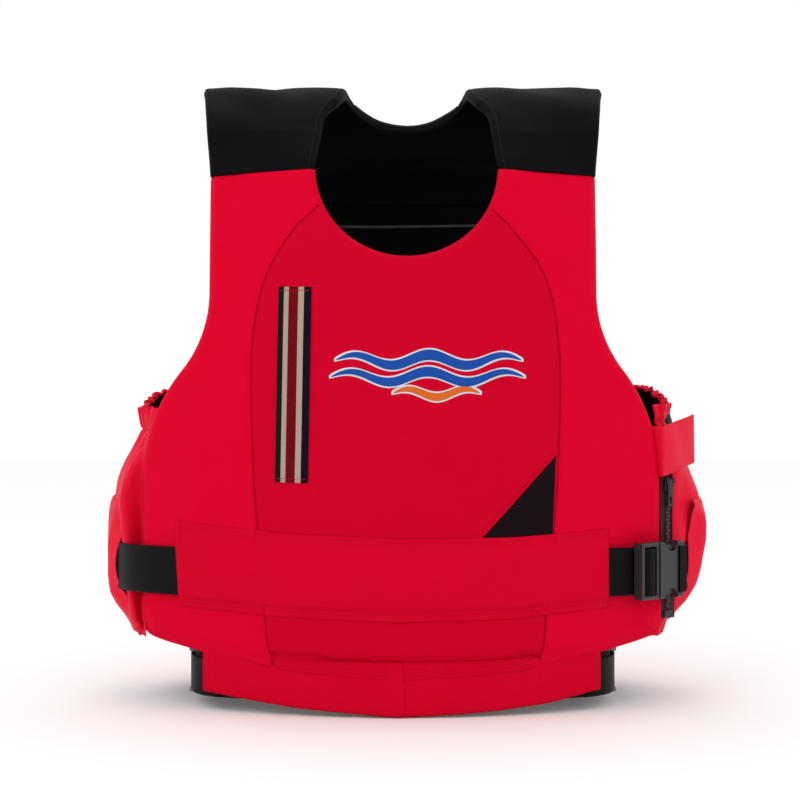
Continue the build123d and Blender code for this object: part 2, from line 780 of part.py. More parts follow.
with BuildPart() as flap_margin:
    with BuildSketch(Plane.XY.offset(flap_bottom)):
        with BuildLine():
            ThreePointArc(*[(x, wrap_y(x, wrap_radius + 1.1, 0)) for x in (200.0, 208.0, 215.5)])
        trace(line_width=1.4)
    extrude(amount=flap_top - flap_bottom)
flap_margin.part.label = "flap_margin"
export_step(flap_margin.part, "parts/flap_margin.step")


# ---- lower tunnels, hem strap and its adjusters -------------------------------------------------
def lower_tunnel(flat_half, end_rise):
    """A fabric tunnel under a pad's hem: flat under its middle, rising to its ends."""
    half = 160.0

    def hem(x):
        return (x, pad_bottom + x**2 / 2400.0 - 0.4)

    with BuildSketch(Plane.XZ) as area:
        with BuildLine():
            rise = ThreePointArc((flat_half, 0), ((flat_half + half) / 2, end_rise * 0.3), (half, end_rise))
            Line((0, 0), rise @ 0)
            side = Line(rise @ 1, hem(half))
            ThreePointArc(side @ 1, hem(half / 2), hem(0))
            mirror(about=Plane.YZ)
        make_face()
    blank = trimmed(wrap_band(strap_radius + 4.2, strap_radius - 4.4, 0.0, 70.0), area.sketch)
    half_hollow = strap_width / 2 + 0.6
    hollow = wrap_band(strap_radius + 2.8, strap_radius - 2.8, strap_z - half_hollow, strap_z + half_hollow)
    return combined(blank, without=hollow)


front_lower = lower_tunnel(45.0, 9.0)
with BuildPart() as lower_tunnel_front:
    add(front_lower)
lower_tunnel_front.part.label = "lower_tunnel_front"
export_step(lower_tunnel_front.part, "parts/lower_tunnel_front.step")

back_lower = mirrored(lower_tunnel(110.0, 6.0), Plane.XZ)
with BuildPart() as lower_tunnel_back:
    add(back_lower)
lower_tunnel_back.part.label = "lower_tunnel_back"
export_step(lower_tunnel_back.part, "parts/lower_tunnel_back.step")


def strap_ring(offset_out):
    """The hem strap's closed plan line, moved outwards by offset_out, as a face."""
    corner_x = strap_side_x - strap_corner_radius
    reach = math.sqrt((strap_radius - strap_corner_radius) ** 2 - corner_x**2)
    corner_y = wrap_centre - reach
    half = math.degrees(math.atan2(corner_x, reach))
    corner = strap_corner_radius + offset_out
    with BuildSketch(Plane.XY.offset(strap_z - strap_width / 2)) as face:
        with BuildLine():
            CenterArc((0, wrap_centre), strap_radius + offset_out, -90 - half, 2 * half)
            CenterArc((0, -wrap_centre), strap_radius + offset_out, 90 - half, 2 * half)
            for side in (-1, 1):
                x = side * (strap_side_x + offset_out)
                Line((x, corner_y), (x, -corner_y))
            CenterArc((corner_x, corner_y), corner, -90 + half, 90 - half)
            CenterArc((-corner_x, corner_y), corner, 180, 90 - half)
            CenterArc((corner_x, -corner_y), corner, 0, 90 - half)
            CenterArc((-corner_x, -corner_y), corner, 90 + half, 90 - half)
        make_face()
    return face.sketch


strap_outer_face = strap_ring(strap_thickness / 2)
strap_inner_face = strap_ring(-strap_thickness / 2)
with BuildPart() as lower_strap:
    extrude(strap_outer_face, amount=strap_width)
    extrude(strap_inner_face, amount=strap_width, mode=Mode.SUBTRACT)
lower_strap.part.label = "lower_strap"
export_step(lower_strap.part, "parts/lower_strap.step")

glide_half_height = strap_width / 2 + 4.0
with BuildPart() as glide:
    with Locations(
        (strap_side_x, glide_y, strap_z - glide_half_height + 1.6),
        (strap_side_x, glide_y, strap_z + glide_half_height - 1.6),
    ):
        Box(7.0, glide_length, 3.2)
    bar_y = (glide_length - glide_bar) / 2
    with Locations(
        (strap_side_x - 2.4, glide_y - bar_y, strap_z),
        (strap_side_x - 2.4, glide_y + bar_y, strap_z),
        (strap_side_x + 2.4, glide_y, strap_z),
    ):
        Box(2.2, glide_bar, 2 * glide_half_height - 0.4)

for name in ("left", "right"):
    with BuildPart() as strap_adjuster:
        add(glide.part if name == "right" else mirrored(glide.part, Plane.YZ))
    strap_adjuster.part.label = f"strap_adjuster_{name}"
    export_step(strap_adjuster.part, f"parts/strap_adjuster_{name}.step")


# ---- front details ------------------------------------------------------------------------------
with BuildSketch(Plane.XZ) as tape_area:
    with Locations((-88.5, 268.5)):
        Rectangle(26.0, 157.0, rotation=-1.0)

with BuildSketch(Plane.XZ) as corner_area:
    with BuildLine():
        Polyline((119.5, 208.0), (117.5, 152.5), (64.0, 151.0), close=True)
    make_face()
corner_mesh = trimmed(wrap_band(wrap_radius + 1.2, wrap_radius + gap, 140.0, 220.0), corner_area.sketch)
with BuildPart() as pocket_mesh_insert:
    add(corner_mesh)
pocket_mesh_insert.part.label = "pocket_mesh_insert"
export_step(pocket_mesh_insert.part, "parts/pocket_mesh_insert.step")

# The tape follows the front face, which leans back above the chest.
tape_layer = pad_layer(lambda z: -2.0, lambda z: -gap)
chest_strip = trimmed(tape_layer, tape_area.sketch)
with BuildPart() as chest_tape:
    add(chest_strip)
chest_tape.part.label = "chest_tape"
export_step(chest_tape.part, "parts/chest_tape.step")

print("buckle origin", buckle_origin, "along", along, "outward", outward)
print("arm pivots", [at_buckle(arm_pivot, side * arm_y, 0) for side in (-1, 1)])
print("pull pivot", join_mid + join_out * pin_offset, slider_z + 4.0, "axis", join_dir)
print("flap hinge", flap_hinge, "direction", flap_dir)
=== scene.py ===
import math

import bpy
import numpy as np
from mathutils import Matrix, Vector
from mathutils.geometry import delaunay_2d_cdt


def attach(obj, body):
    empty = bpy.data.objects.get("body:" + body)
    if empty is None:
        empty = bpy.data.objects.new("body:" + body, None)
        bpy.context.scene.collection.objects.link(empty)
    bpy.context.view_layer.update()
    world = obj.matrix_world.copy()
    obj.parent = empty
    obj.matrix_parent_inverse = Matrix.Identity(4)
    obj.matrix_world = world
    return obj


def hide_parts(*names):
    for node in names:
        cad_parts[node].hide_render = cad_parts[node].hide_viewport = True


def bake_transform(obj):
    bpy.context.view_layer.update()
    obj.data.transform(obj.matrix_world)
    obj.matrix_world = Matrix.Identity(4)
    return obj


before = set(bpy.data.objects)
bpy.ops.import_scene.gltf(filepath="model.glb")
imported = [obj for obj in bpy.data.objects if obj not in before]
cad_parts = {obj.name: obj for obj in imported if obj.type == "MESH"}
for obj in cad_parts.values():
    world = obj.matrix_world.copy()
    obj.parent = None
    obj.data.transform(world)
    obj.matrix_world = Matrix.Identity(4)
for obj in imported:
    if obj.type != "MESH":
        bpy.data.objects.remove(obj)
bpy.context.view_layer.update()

# Everything below is worked out in millimetres and written to meshes in metres.
# ---- shapes of the jacket -------------------------------------------------------------------------
R_WRAP, C_WRAP = 395.0, 265.0


def smooth(a, b, v):
    """0 up to a, 1 from b on, with a soft step between."""
    t = np.clip((v - a) / (b - a), 0.0, 1.0)
    return t * t * (3 - 2 * t)


def bell(d, width):
    """1 where d is 0, falling off over the width on both sides."""
    return np.exp(-((d / width) ** 2))


def lean(z):
    """How far the pads lean back at a height, towards the shoulders."""
    return 22.0 * (np.maximum(0.0, z - 280.0) / 164.0) ** 2


def pad_depth(z):
    low = 34.0 - 10.0 * np.clip((90.0 - z) / 70.0, 0, 1)
    return np.where(z > 300, 34.0 - 22.0 * (z - 300.0) / 152.0, low)


def interp(z, table):
    zs = sorted(table)
    return np.interp(z, zs, [table[k] for k in zs])


def waves(P, length, seed, stretch=(1.0, 1.0)):
    """Soft random undulation between about -1 and 1, with features of the given length in mm."""
    rng = np.random.default_rng(seed)
    total = np.zeros(len(P))
    for _ in range(7):
        a = rng.uniform(0, 2 * math.pi)
        k = 2 * math.pi / (length * rng.uniform(0.7, 1.5))
        total += np.sin(k * (P[:, 0] / stretch[0] * math.cos(a) + P[:, 1] / stretch[1] * math.sin(a))
                        + rng.uniform(0, 7))
    return total / 3.4


def front_place(P, depth):
    """Points of the front pad at a depth under its outer face; walls run straight back."""
    x, z = P[:, 0], P[:, 1]
    y = C_WRAP + lean(z) - np.sqrt(np.maximum((R_WRAP - depth) ** 2 - x**2, 1.0))
    return np.stack([x, y, z], 1)


def back_place(P, depth):
    return front_place(P, depth) * np.array([1.0, -1.0, 1.0])


# ---- 2-D outlines ---------------------------------------------------------------------------------
def arc(cx, cz, r, a0, a1, step=3.0):
    n = max(2, int(abs(math.radians(a1 - a0)) * r / step) + 1)
    a = np.radians(np.linspace(a0, a1, n + 1))
    return [(cx + r * math.cos(t), cz + r * math.sin(t)) for t in a]


def line(p, q, step=3.0):
    n = max(1, int(math.dist(p, q) / step))
    return [(p[0] + (q[0] - p[0]) * i / n, p[1] + (q[1] - p[1]) * i / n) for i in range(n + 1)]


def curve(points, step=3.0):
    """A smooth line through points, resampled evenly."""
    p = [np.array(q, float) for q in points]
    p = [2 * p[0] - p[1]] + p + [2 * p[-1] - p[-2]]
    out = []
    for a, b, c, d in zip(p, p[1:], p[2:], p[3:]):
        for t in np.linspace(0, 1, 12, endpoint=False):
            out.append(0.5 * ((2 * b) + (c - a) * t + (2 * a - 5 * b + 4 * c - d) * t**2 + (3 * b - a - 3 * c + d)
                              * t**3))
    out.append(p[-2])
    out = np.array(out)
    s = np.concatenate([[0], np.cumsum(np.linalg.norm(np.diff(out, axis=0), axis=1))])
    n = max(1, int(s[-1] / step))
    u = np.linspace(0, s[-1], n + 1)
    return [tuple(v) for v in np.stack([np.interp(u, s, out[:, i]) for i in range(out.shape[1])], 1)]


def chain(*runs):
    loop = []
    for run in runs:
        for p in run:
            if not loop or math.dist(loop[-1], p) > 0.05:
                loop.append(tuple(p))
    if math.dist(loop[0], loop[-1]) < 0.05:
        loop.pop()
    return np.array(loop)


def seg_distance(P, Q, closed=True):
    """Distance from each point to a polyline."""
    A = Q
    B = np.roll(Q, -1, axis=0) if closed else Q[1:]
    A = A if closed else Q[:-1]
    best = np.full(len(P), 1e9)
    for s in range(0, len(P), 4000):
        p = P[s : s + 4000, None, :]
        ab = B - A
        t = np.clip(((p - A) * ab).sum(2) / np.maximum((ab * ab).sum(1), 1e-9), 0, 1)
        d = np.linalg.norm(p - (A + t[..., None] * ab), axis=2)
        best[s : s + 4000] = d.min(1)
    return best


def nearest(P, *lines):
    """Distance to the nearest of some open lines."""
    return np.minimum.reduce([seg_distance(P, np.asarray(q, float), False) for q in lines])


def inside(P, Q):
    """True for the points inside a closed loop."""
    x, y = P[:, 0][:, None], P[:, 1][:, None]
    x0, y0 = Q[:, 0], Q[:, 1]
    x1, y1 = np.roll(x0, -1), np.roll(y0, -1)
    cond = (y0 > y) != (y1 > y)
    xc = (x1 - x0) * (y - y0) / np.where(np.abs(y1 - y0) < 1e-9, 1e-9, y1 - y0) + x0
    return (np.sum(cond & (x < xc), axis=1) % 2) == 1


def area2(Q):
    x, y = Q[:, 0], Q[:, 1]
    return np.sum(x * np.roll(y, -1) - np.roll(x, -1) * y) / 2


def triangulate(loop, cell, rings=(), lines=()):
    """Even triangles inside a loop, with rows of points along its edge and along the given lines."""
    if area2(loop) < 0:
        loop = loop[::-1].copy()
    lo, hi = loop.min(0), loop.max(0)
    rows = np.arange(lo[1], hi[1] + cell, cell * 0.866)
    grid = []
    for i, z in enumerate(rows):  # every other row stands half a cell to the side
        grid += [(x, z) for x in np.arange(lo[0] + (i % 2) * cell / 2, hi[0] + cell, cell)]
    grid = np.array(grid)
    grid = grid[inside(grid, loop)]
    deepest = max(rings) if rings else 0.0
    grid = grid[seg_distance(grid, loop) > deepest + 0.6 * cell]
    nrm = np.roll(loop, -1, 0) - np.roll(loop, 1, 0)
    nrm = np.stack([-nrm[:, 1], nrm[:, 0]], 1) / np.linalg.norm(nrm, axis=1)[:, None]
    packs = [grid]
    for r in rings:
        q = loop + nrm * r
        q = q[inside(q, loop)]
        if len(q):
            packs.append(q[seg_distance(q, loop) > 0.93 * r])
    clean_lines = []
    for l in lines:
        l = np.array(l)
        keep = inside(l, loop) & (seg_distance(l, loop) > 1.2)
        l = l[keep]
        if len(l) < 2:
            continue
        ends = []
        for e in (l[0], l[-1]):
            d = np.linalg.norm(loop - e, axis=1)
            ends.append([loop[d.argmin()]] if d.min() < 9 else [])
        clean_lines.append(np.array(ends[0] + list(l) + ends[1]))
    pts = np.concatenate(packs)
    for l in clean_lines:
        pts = pts[seg_distance(pts, l, closed=False) > 0.55 * min(cell, 2.5)]
    coords = [tuple(p) for p in loop]
    edges = [(i, (i + 1) % len(loop)) for i in range(len(loop))]
    for l in clean_lines:
        base = len(coords)
        coords += [tuple(p) for p in l]
        edges += [(base + i, base + i + 1) for i in range(len(l) - 1)]
    coords += [tuple(p) for p in pts]
    v, _, f, *_ = delaunay_2d_cdt([Vector(c) for c in coords], edges, [], 1, 0.02)
    V = np.array([(a.x, a.y) for a in v])
    F = [tuple(t) for t in f]
    F = [t if area2(V[list(t)]) > 0 else t[::-1] for t in F]
    return V, F


def rim_of(F):
    """The boundary loop of a triangulation, in order."""
    once = {}
    for t in F:
        for a, b in zip(t, t[1:] + t[:1]):
            if (b, a) in once:
                del once[(b, a)]
            else:
                once[(a, b)] = True
    nxt = dict(once.keys())
    start = next(iter(nxt))
    loop, here = [start], nxt[start]
    while here != start and len(loop) <= len(nxt):
        loop.append(here)
        here = nxt[here]
    return loop


# ---- objects --------------------------------------------------------------------------------------
def make_object(name, verts, faces, material, uv=None, flat=False):
    me = bpy.data.meshes.new(name)
    me.from_pydata([tuple(v) for v in np.asarray(verts) * 0.001], [], [tuple(map(int, f)) for f in faces])
    if uv is not None:
        index = np.empty(len(me.loops), dtype=np.int32)
        me.loops.foreach_get("vertex_index", index)
        layer = me.uv_layers.new(name="UVMap")
        layer.data.foreach_set("uv", (np.asarray(uv)[index] * 0.001).astype(np.float32).ravel())
    me.polygons.foreach_set("use_smooth", [not flat] * len(me.polygons))
    me.materials.append(material)
    me.validate()
    ob = bpy.data.objects.new(name, me)
    bpy.context.scene.collection.objects.link(ob)
    return ob


def tidy_part(V, F, uv):
    """Only the vertices that the faces use."""
    used = sorted({i for f in F for i in f})
    new = {u: i for i, u in enumerate(used)}
    return V[used], [tuple(new[i] for i in f) for f in F], uv[used]


def slab(name, V, F, place, top, bottom, material, flip=False, wall=4, bulge=0.0, region=None, cap=True):
    """A closed soft slab over a triangulated outline: outer skin, wall and, with cap, the inner skin.

    region picks triangles by their middle; only the outline's own edge gets a wall, and the cut along a
    seam is left open because the next panel starts there.
    """
    rim_all = rim_of(F)
    rim_next = dict(zip(rim_all, rim_all[1:] + rim_all[:1]))
    outer = place(V, top)
    keepers = F
    if region is not None:
        mid = np.array([V[list(t)].mean(0) for t in F])
        keepers = [t for t, k in zip(F, region(mid)) if k]
    used_edges = {(a, b) for t in keepers for a, b in zip(t, t[1:] + t[:1])}
    walls = [(a, b) for a, b in rim_next.items() if (a, b) in used_edges]
    idx = sorted({i for e in walls for i in e})
    prev = {b: a for a, b in rim_next.items()}
    t = np.array([V[rim_next[i]] - V[prev[i]] for i in idx]) if idx else np.zeros((0, 2))
    nrm = np.stack([t[:, 1], -t[:, 0]], 1) / np.maximum(np.linalg.norm(t, axis=1), 1e-6)[:, None] if idx else t
    verts, uvs, faces = [outer], [V.copy()], list(keepers)
    rows = {0: {i: i for i in idx}}
    base = len(V)
    if idx:
        for k in range(1, wall + 1):
            s = k / wall
            depth = top[idx] * (1 - s) + bottom[idx] * s
            push = nrm * (bulge * math.sin(math.pi * s))
            verts.append(place(V[idx] + push, depth))
            uvs.append(V[idx] + nrm * (depth - top[idx])[:, None])
            rows[k] = {i: base + j for j, i in enumerate(idx)}
            base += len(idx)
        for k in range(wall):
            for a, b in walls:
                faces.append((rows[k][b], rows[k][a], rows[k + 1][a], rows[k + 1][b]))
    if cap:
        inner = place(V, bottom)
        verts.append(inner)
        uvs.append(V.copy())
        faces += [tuple(base + i for i in t[::-1]) for t in keepers]
        if idx:  # close onto the wall's last row
            for a, b in walls:
                faces.append((rows[wall][b], rows[wall][a], base + a, base + b))
    verts, uvs = np.concatenate(verts), np.concatenate(uvs)
    if flip:
        faces = [f[::-1] for f in faces]
    verts, faces, uvs = tidy_part(verts, faces, uvs)
    return make_object(name, verts, faces, material, uvs)


def skin(name, V, F, place, depth, material, flip=False):
    verts = place(V, depth)
    faces = [f[::-1] for f in F] if flip else F
    return make_object(name, verts, faces, material, V.copy())


def on_vest(ob, slot_name, *nodes, body="vest"):
    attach(ob, body)
    if nodes:
        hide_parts(*nodes)
    return ob


# ---- materials ------------------------------------------------------------------------------------
def new_material(name, color, rough, sheen=0.0, sheen_tint=(1, 1, 1), coat=0.0, specular=0.5, metallic=0.0):
    m = bpy.data.materials.new(name)
    m.use_nodes = True
    n, l = m.node_tree.nodes, m.node_tree.links
    b = n["Principled BSDF"]
    b.inputs["Base Color"].default_value = (*color, 1)
    b.inputs["Roughness"].default_value = rough
    b.inputs["Sheen Weight"].default_value = sheen
    b.inputs["Sheen Tint"].default_value = (*sheen_tint, 1)
    b.inputs["Sheen Roughness"].default_value = 0.5
    b.inputs["Coat Weight"].default_value = coat
    b.inputs["Specular IOR Level"].default_value = specular
    b.inputs["Metallic"].default_value = metallic
    return m, n, l, b


def math_node(n, l, op, a, b=None):
    m = n.new("ShaderNodeMath")
    m.operation = op
    for i, v in enumerate((a, b)):
        if v is None:
            continue
        if isinstance(v, (int, float)):
            m.inputs[i].default_value = v
        else:
            l.new(v, m.inputs[i])
    return m.outputs[0]


def noise_node(n, l, coord, scale, detail=2.0):
    """The value of a noise texture at a coordinate."""
    noise = n.new("ShaderNodeTexNoise")
    noise.inputs["Scale"].default_value = scale
    noise.inputs["Detail"].default_value = detail
    l.new(coord, noise.inputs["Vector"])
    return noise.outputs["Fac"]


def bump_node(n, l, height, mm, normal=None):
    """A normal roughened by a height of so many millimetres, over another normal."""
    bump = n.new("ShaderNodeBump")
    bump.inputs["Distance"].default_value = mm * 0.001
    l.new(height, bump.inputs["Height"])
    if normal is not None:
        l.new(normal, bump.inputs["Normal"])
    return bump.outputs[0]


def scaled(n, l, color, value):
    """A colour, fixed or from a node, times a value."""
    scale = n.new("ShaderNodeVectorMath")
    scale.operation = "SCALE"
    if isinstance(color, tuple):
        scale.inputs[0].default_value = color
    else:
        l.new(color, scale.inputs[0])
    l.new(value, scale.inputs["Scale"])
    return scale.outputs[0]


def weave_height(n, l, pitch_mm, use_uv=True, skew=False):
    """Height of a plain weave of that pitch, between -1 and 1."""
    tc = n.new("ShaderNodeTexCoord")
    sep = n.new("ShaderNodeSeparateXYZ")
    l.new(tc.outputs["UV" if use_uv else "Object"], sep.inputs[0])
    k = 2 * math.pi / (pitch_mm * 0.001)
    if use_uv:
        u, v = sep.outputs[0], sep.outputs[1]
    else:
        u = math_node(n, l, "ADD", sep.outputs[0], sep.outputs[1])
        v = sep.outputs[2]
    if skew:
        u, v = math_node(n, l, "ADD", u, v), math_node(n, l, "SUBTRACT", u, v)
    su = math_node(n, l, "SINE", math_node(n, l, "MULTIPLY", u, k))
    sv = math_node(n, l, "SINE", math_node(n, l, "MULTIPLY", v, k))
    return math_node(n, l, "MULTIPLY", su, sv), tc


def cloth_material(name, color, rough, pitch, bump_mm, sheen, sheen_tint=(1, 1, 1), mottle=0.07, use_uv=True,
                   specular=0.4,
                   soft_mm=0.0):
    m, n, l, b = new_material(name, color, rough, sheen, sheen_tint, specular=specular)
    weave, tc = weave_height(n, l, pitch, use_uv)
    coord = tc.outputs["Object"]
    fine = noise_node(n, l, coord, 900.0)
    times = lambda node, factor: math_node(n, l, "MULTIPLY", node, factor)
    mix = math_node(n, l, "ADD", times(noise_node(n, l, coord, 28.0, 3.0), mottle), times(fine, mottle))
    value = math_node(n, l, "ADD", mix, 1.0 - mottle)
    value = math_node(n, l, "ADD", value, times(weave, mottle * 0.5))
    l.new(scaled(n, l, color, value), b.inputs["Base Color"])
    normal = bump_node(n, l, math_node(n, l, "ADD", weave, times(fine, 0.8)), bump_mm)
    if soft_mm:  # soft crumples under the weave
        normal = bump_node(n, l, noise_node(n, l, coord, 45.0, 4.0), soft_mm, normal)
    l.new(normal, b.inputs["Normal"])
    return m


RED = (0.565, 0.0003, 0.0195)
red_fabric = cloth_material("red_nylon", RED, 0.7, 0.9, 0.05, 0.01, (1.0, 0.02, 0.05), soft_mm=0.5, specular=0.025)
# A brighter copy of the red nylon for the pads' outer panels: painted light, as if they catch more light than the
# centre.
red_outer_painted_light = cloth_material("red_nylon_outer_painted_light", (0.655, 0.0002, 0.0215), 0.7, 0.9, 0.05, 0.01, (1.0, 0.02, 0.05),
                           soft_mm=0.5, specular=0.03)
# A still brighter copy of the red nylon for the side panels, their belt covers and the storm flap: painted light,
# where light grazes the sides.
red_side_painted_light = cloth_material("red_nylon_side_painted_light", (0.74, 0.0025, 0.031), 0.5, 0.9, 0.05, 0.035, (1.0, 0.1, 0.14),
                          soft_mm=0.8, specular=0.1)
neoprene = cloth_material("neoprene", (0.0022, 0.0020, 0.0036), 0.65, 0.7, 0.03, 0.0, soft_mm=0.5, specular=0.055)
lining_cloth = cloth_material("lining", (0.0018, 0.0016, 0.0026), 0.85, 0.9, 0.04, 0.0, specular=0.05)
webbing = cloth_material("webbing", (0.0028, 0.0025, 0.0032), 0.45, 1.6, 0.1, 0.0, mottle=0.15, use_uv=False,
                         specular=0.08)
hook_loop = cloth_material("hook_and_loop", (0.01, 0.01, 0.01), 0.95, 1.2, 0.25, 0.1, use_uv=False)
piping_cloth = cloth_material("grey_piping", (0.045, 0.045, 0.05), 0.8, 0.8, 0.05, 0.05, use_uv=False)
zip_cloth = cloth_material("zip_tape", (0.05, 0.004, 0.008), 0.8, 0.8, 0.05, 0.03, use_uv=False)


def plastic_material(name, color, rough, grain=0.02):
    m, n, l, b = new_material(name, color, rough, specular=0.5)
    coord = n.new("ShaderNodeTexCoord").outputs["Object"]
    bevel = n.new("ShaderNodeBevel")
    bevel.samples = 4
    bevel.inputs["Radius"].default_value = 0.0006
    l.new(bump_node(n, l, noise_node(n, l, coord, 1500.0), grain, bevel.outputs[0]), b.inputs["Normal"])
    return m


buckle_plastic = plastic_material("buckle_plastic", (0.016, 0.015, 0.018), 0.38)
grey_plastic = plastic_material("adjuster_plastic", (0.24, 0.235, 0.24), 0.45)
zip_plastic = plastic_material("zip_plastic", (0.012, 0.012, 0.014), 0.4)

# ---- outlines of the pads ---------------------------------------------------------------------------
HALF, CHEST = 216.0, 159.5
NECK_X, NECK_Z, NECK_R = 3.0, 448.0, 76.2  # the front neckline is an arc
FRONT_TOP_Z, BACK_TOP_Z = 442.1, 443.4  # where the pads end under the shoulders
WIDER_RIGHT = 4.5  # the right seam stands this much further out
DROP = 345.0 - 190.0
TURN = 2 * math.degrees(math.atan2(HALF - CHEST, DROP))
R_LOW = DROP / math.sin(math.radians(TURN)) - 100.0


def hem_z(x):
    """Height of the pad's lower edge: lowest in the middle."""
    x = np.abs(np.asarray(x, float))
    return np.interp(x, [0, 40, 105, 150, 183, 208, 216], [31.0, 33.0, 38.5, 46.0, 52.2, 58.5, 69.0])


def right_side(top_z):
    """The pad's right edge from its corner up to the shoulder seam."""
    low = arc(HALF - R_LOW, 190.0, R_LOW, 0, TURN)
    up = arc(CHEST + 100.0, 345.0, 100.0, 180 + TURN, 180)
    return chain(line((HALF, 92.0), (HALF, 190.0)), low, up, line((CHEST, 345.0), (CHEST, top_z)))


def half_bottom():
    """From the hem's middle to the lower right corner."""
    pts = curve([(0, 31), (40, 33), (75, 35.5), (105, 38.5), (135, 43), (160, 47.5), (182, 52.0), (198, 55.5),
                 (208, 58.5), (213.5, 62.5), (216, 69), (216, 92)])
    return np.array(pts)


WIDER_LEFT = 3.0  # the pads' left edge stands this much further out below the armhole


def mirror_point(x, z):
    return (-x - WIDER_LEFT * float(smooth(120, 200, x)) * float(1 - smooth(190, 330, z)), z)


def mirror_run(run):
    return [mirror_point(x, z) for x, z in list(run)[::-1]]


side_run = [tuple(p) for p in right_side(FRONT_TOP_Z)]
bottom_run = [tuple(p) for p in half_bottom()]
neck = arc(NECK_X, NECK_Z, NECK_R, -2.3, -177.7)
NECK_L, NECK_RT = neck[-1], neck[0]
front_loop = chain(
    bottom_run, side_run, line((CHEST, FRONT_TOP_Z), NECK_RT), neck, line(NECK_L, (-CHEST, FRONT_TOP_Z)),
    mirror_run(side_run), mirror_run(bottom_run),
)
back_loop = chain(bottom_run, side_run, line((CHEST, BACK_TOP_Z), (-CHEST, BACK_TOP_Z)), mirror_run(side_run),
                  mirror_run(bottom_run))

PRINCESS = [(66.2, 416.5), (80, 404), (91, 392), (107, 366), (117.5, 336), (122.5, 300), (123.5, 270), (123, 240),
            (121, 190), (118, 148),
            (114.5, 112), (112, 88), (110, 60), (105, 38)]
princess = curve(PRINCESS, 2.5)
seam_left = np.array(princess) * np.array([-1, 1])
run_length = np.arange(len(princess)) * 2.5
seam_right = np.array(princess)
seam_right[:, 0] += WIDER_RIGHT * smooth(30, 75, run_length)


def between_seams(x, z, margin=0.0):
    """True where a point lies on the centre panel."""
    order = slice(None, None, -1)
    top = lambda q: (np.append(q[order, 1], 470.0), np.append(np.abs(q[order, 0]), 20.0))
    zl, xl = top(seam_left)
    zr, xr = top(seam_right)
    return (x > -np.interp(z, zl, xl) - margin) & (x < np.interp(z, zr, xr) + margin)


def roll(d, r):
    """Depth of a rounded edge of radius r at distance d from the edge."""
    t = np.clip(d, 0, r)
    return r - np.sqrt(np.maximum(r * r - (r - t) ** 2, 0))


neck_edge = np.array(neck)
side_edge_r = np.array(side_run)
side_edge_l = np.array([mirror_point(x, z) for x, z in side_run])
top_edge_r = np.array([(CHEST, 442.6), (74.9, 445.5)])
top_edge_l = top_edge_r * np.array([-1, 1])
hem_crease = curve([(-107, 51.0), (-60, 48.0), (0, 45.5), (60, 46.0), (107, 49.5)], 3.0)


def seam_pull(P):
    """How deep the princess seams pull the cover in."""
    apart = [nearest(P, seam) for seam in (seam_right, seam_left)]
    return sum(1.4 * bell(d, 1.3) + 0.3 * bell(d, 7.0) for d in apart)


def lower_edge(d):
    """Depth of an outer panel's edge at the hem."""
    return np.maximum(roll(d, 8.0), 4.0 * (1 - smooth(0, 16, d)))


def front_top(P):
    """Depth of the front pad's visible face under the plain wrap surface."""
    x, z = P[:, 0], P[:, 1]
    d_side = nearest(P, side_edge_r, side_edge_l)
    d_neck = nearest(P, neck_edge)
    d_top = nearest(P, top_edge_r, top_edge_l)
    d_bottom = np.maximum(z - hem_z(x), 0)
    t = roll(d_side, 6.5)
    t = np.maximum(t, roll(d_neck, 5.0))
    t = np.maximum(t, roll(d_top, 3.0) * 0.8)
    # The padding stops above the hem; below the crease only the two layers of cover go on.
    inner = between_seams(x, z)
    line_z = np.interp(x, [-107, -60, 0, 60, 107], [51.0, 48.0, 45.5, 46.0, 49.5])
    flat = 6.6 - 2.2 * smooth(0, 11, line_z - z)
    t_mid = np.where(z < line_z, flat, roll(z - line_z, 4.8))
    t_out = lower_edge(d_bottom)
    t = np.maximum(t, np.where(inner, t_mid, t_out))
    t = t + seam_pull(P) - 0.9 * waves(P, 95.0, 3) - 0.35 * waves(P, 34.0, 5, (1.0, 1.6))
    # Long soft folds fan down from the shoulders and pull in to the armholes.
    fold = (
        np.sin((np.abs(x) - 0.42 * (445 - z)) / 13.0) * smooth(60, 150, np.abs(x)) * smooth(150, 260, z)
        * (1 - smooth(400, 445, z))
    )
    return t + 0.35 * fold - 1.6 * smooth(0, 90, np.minimum(d_side, d_bottom)) + 1.0


def back_top(P):
    x, z = P[:, 0], P[:, 1]
    d_side = nearest(P, side_edge_r, side_edge_l)
    d_bottom = np.maximum(z - hem_z(x), 0)
    t = roll(d_side, 9.0)
    t = np.maximum(t, roll(445.0 - z, 3.0) * 0.8)
    t_out = lower_edge(d_bottom)
    line_z = np.interp(np.abs(x), [0, 60, 107], [45.5, 46.0, 49.5])
    t_mid = np.where(z < line_z, 5.0, roll(z - line_z, 7.0) * 0.8)
    t = np.maximum(t, np.where(between_seams(x, z), t_mid, t_out))
    crown = 1.6 * smooth(0, 90, np.minimum(d_side, d_bottom))
    return t + seam_pull(P) - 0.9 * waves(P, 95.0, 13) - 0.35 * waves(P, 34.0, 15) - crown + 1.0


def pad_bottom_depth(P):
    """Depth of the pad's inner face; it ends above the lower tunnel."""
    z = P[:, 1]
    full = pad_depth(z) - 0.4
    thin = 7.5  # two layers of cover
    near = smooth(44.0, 52.0, z)
    edge = nearest(P, side_edge_r, side_edge_l)
    return (thin * (1 - near) + full * near) - roll(edge, 4.0)


CELL = 3.6


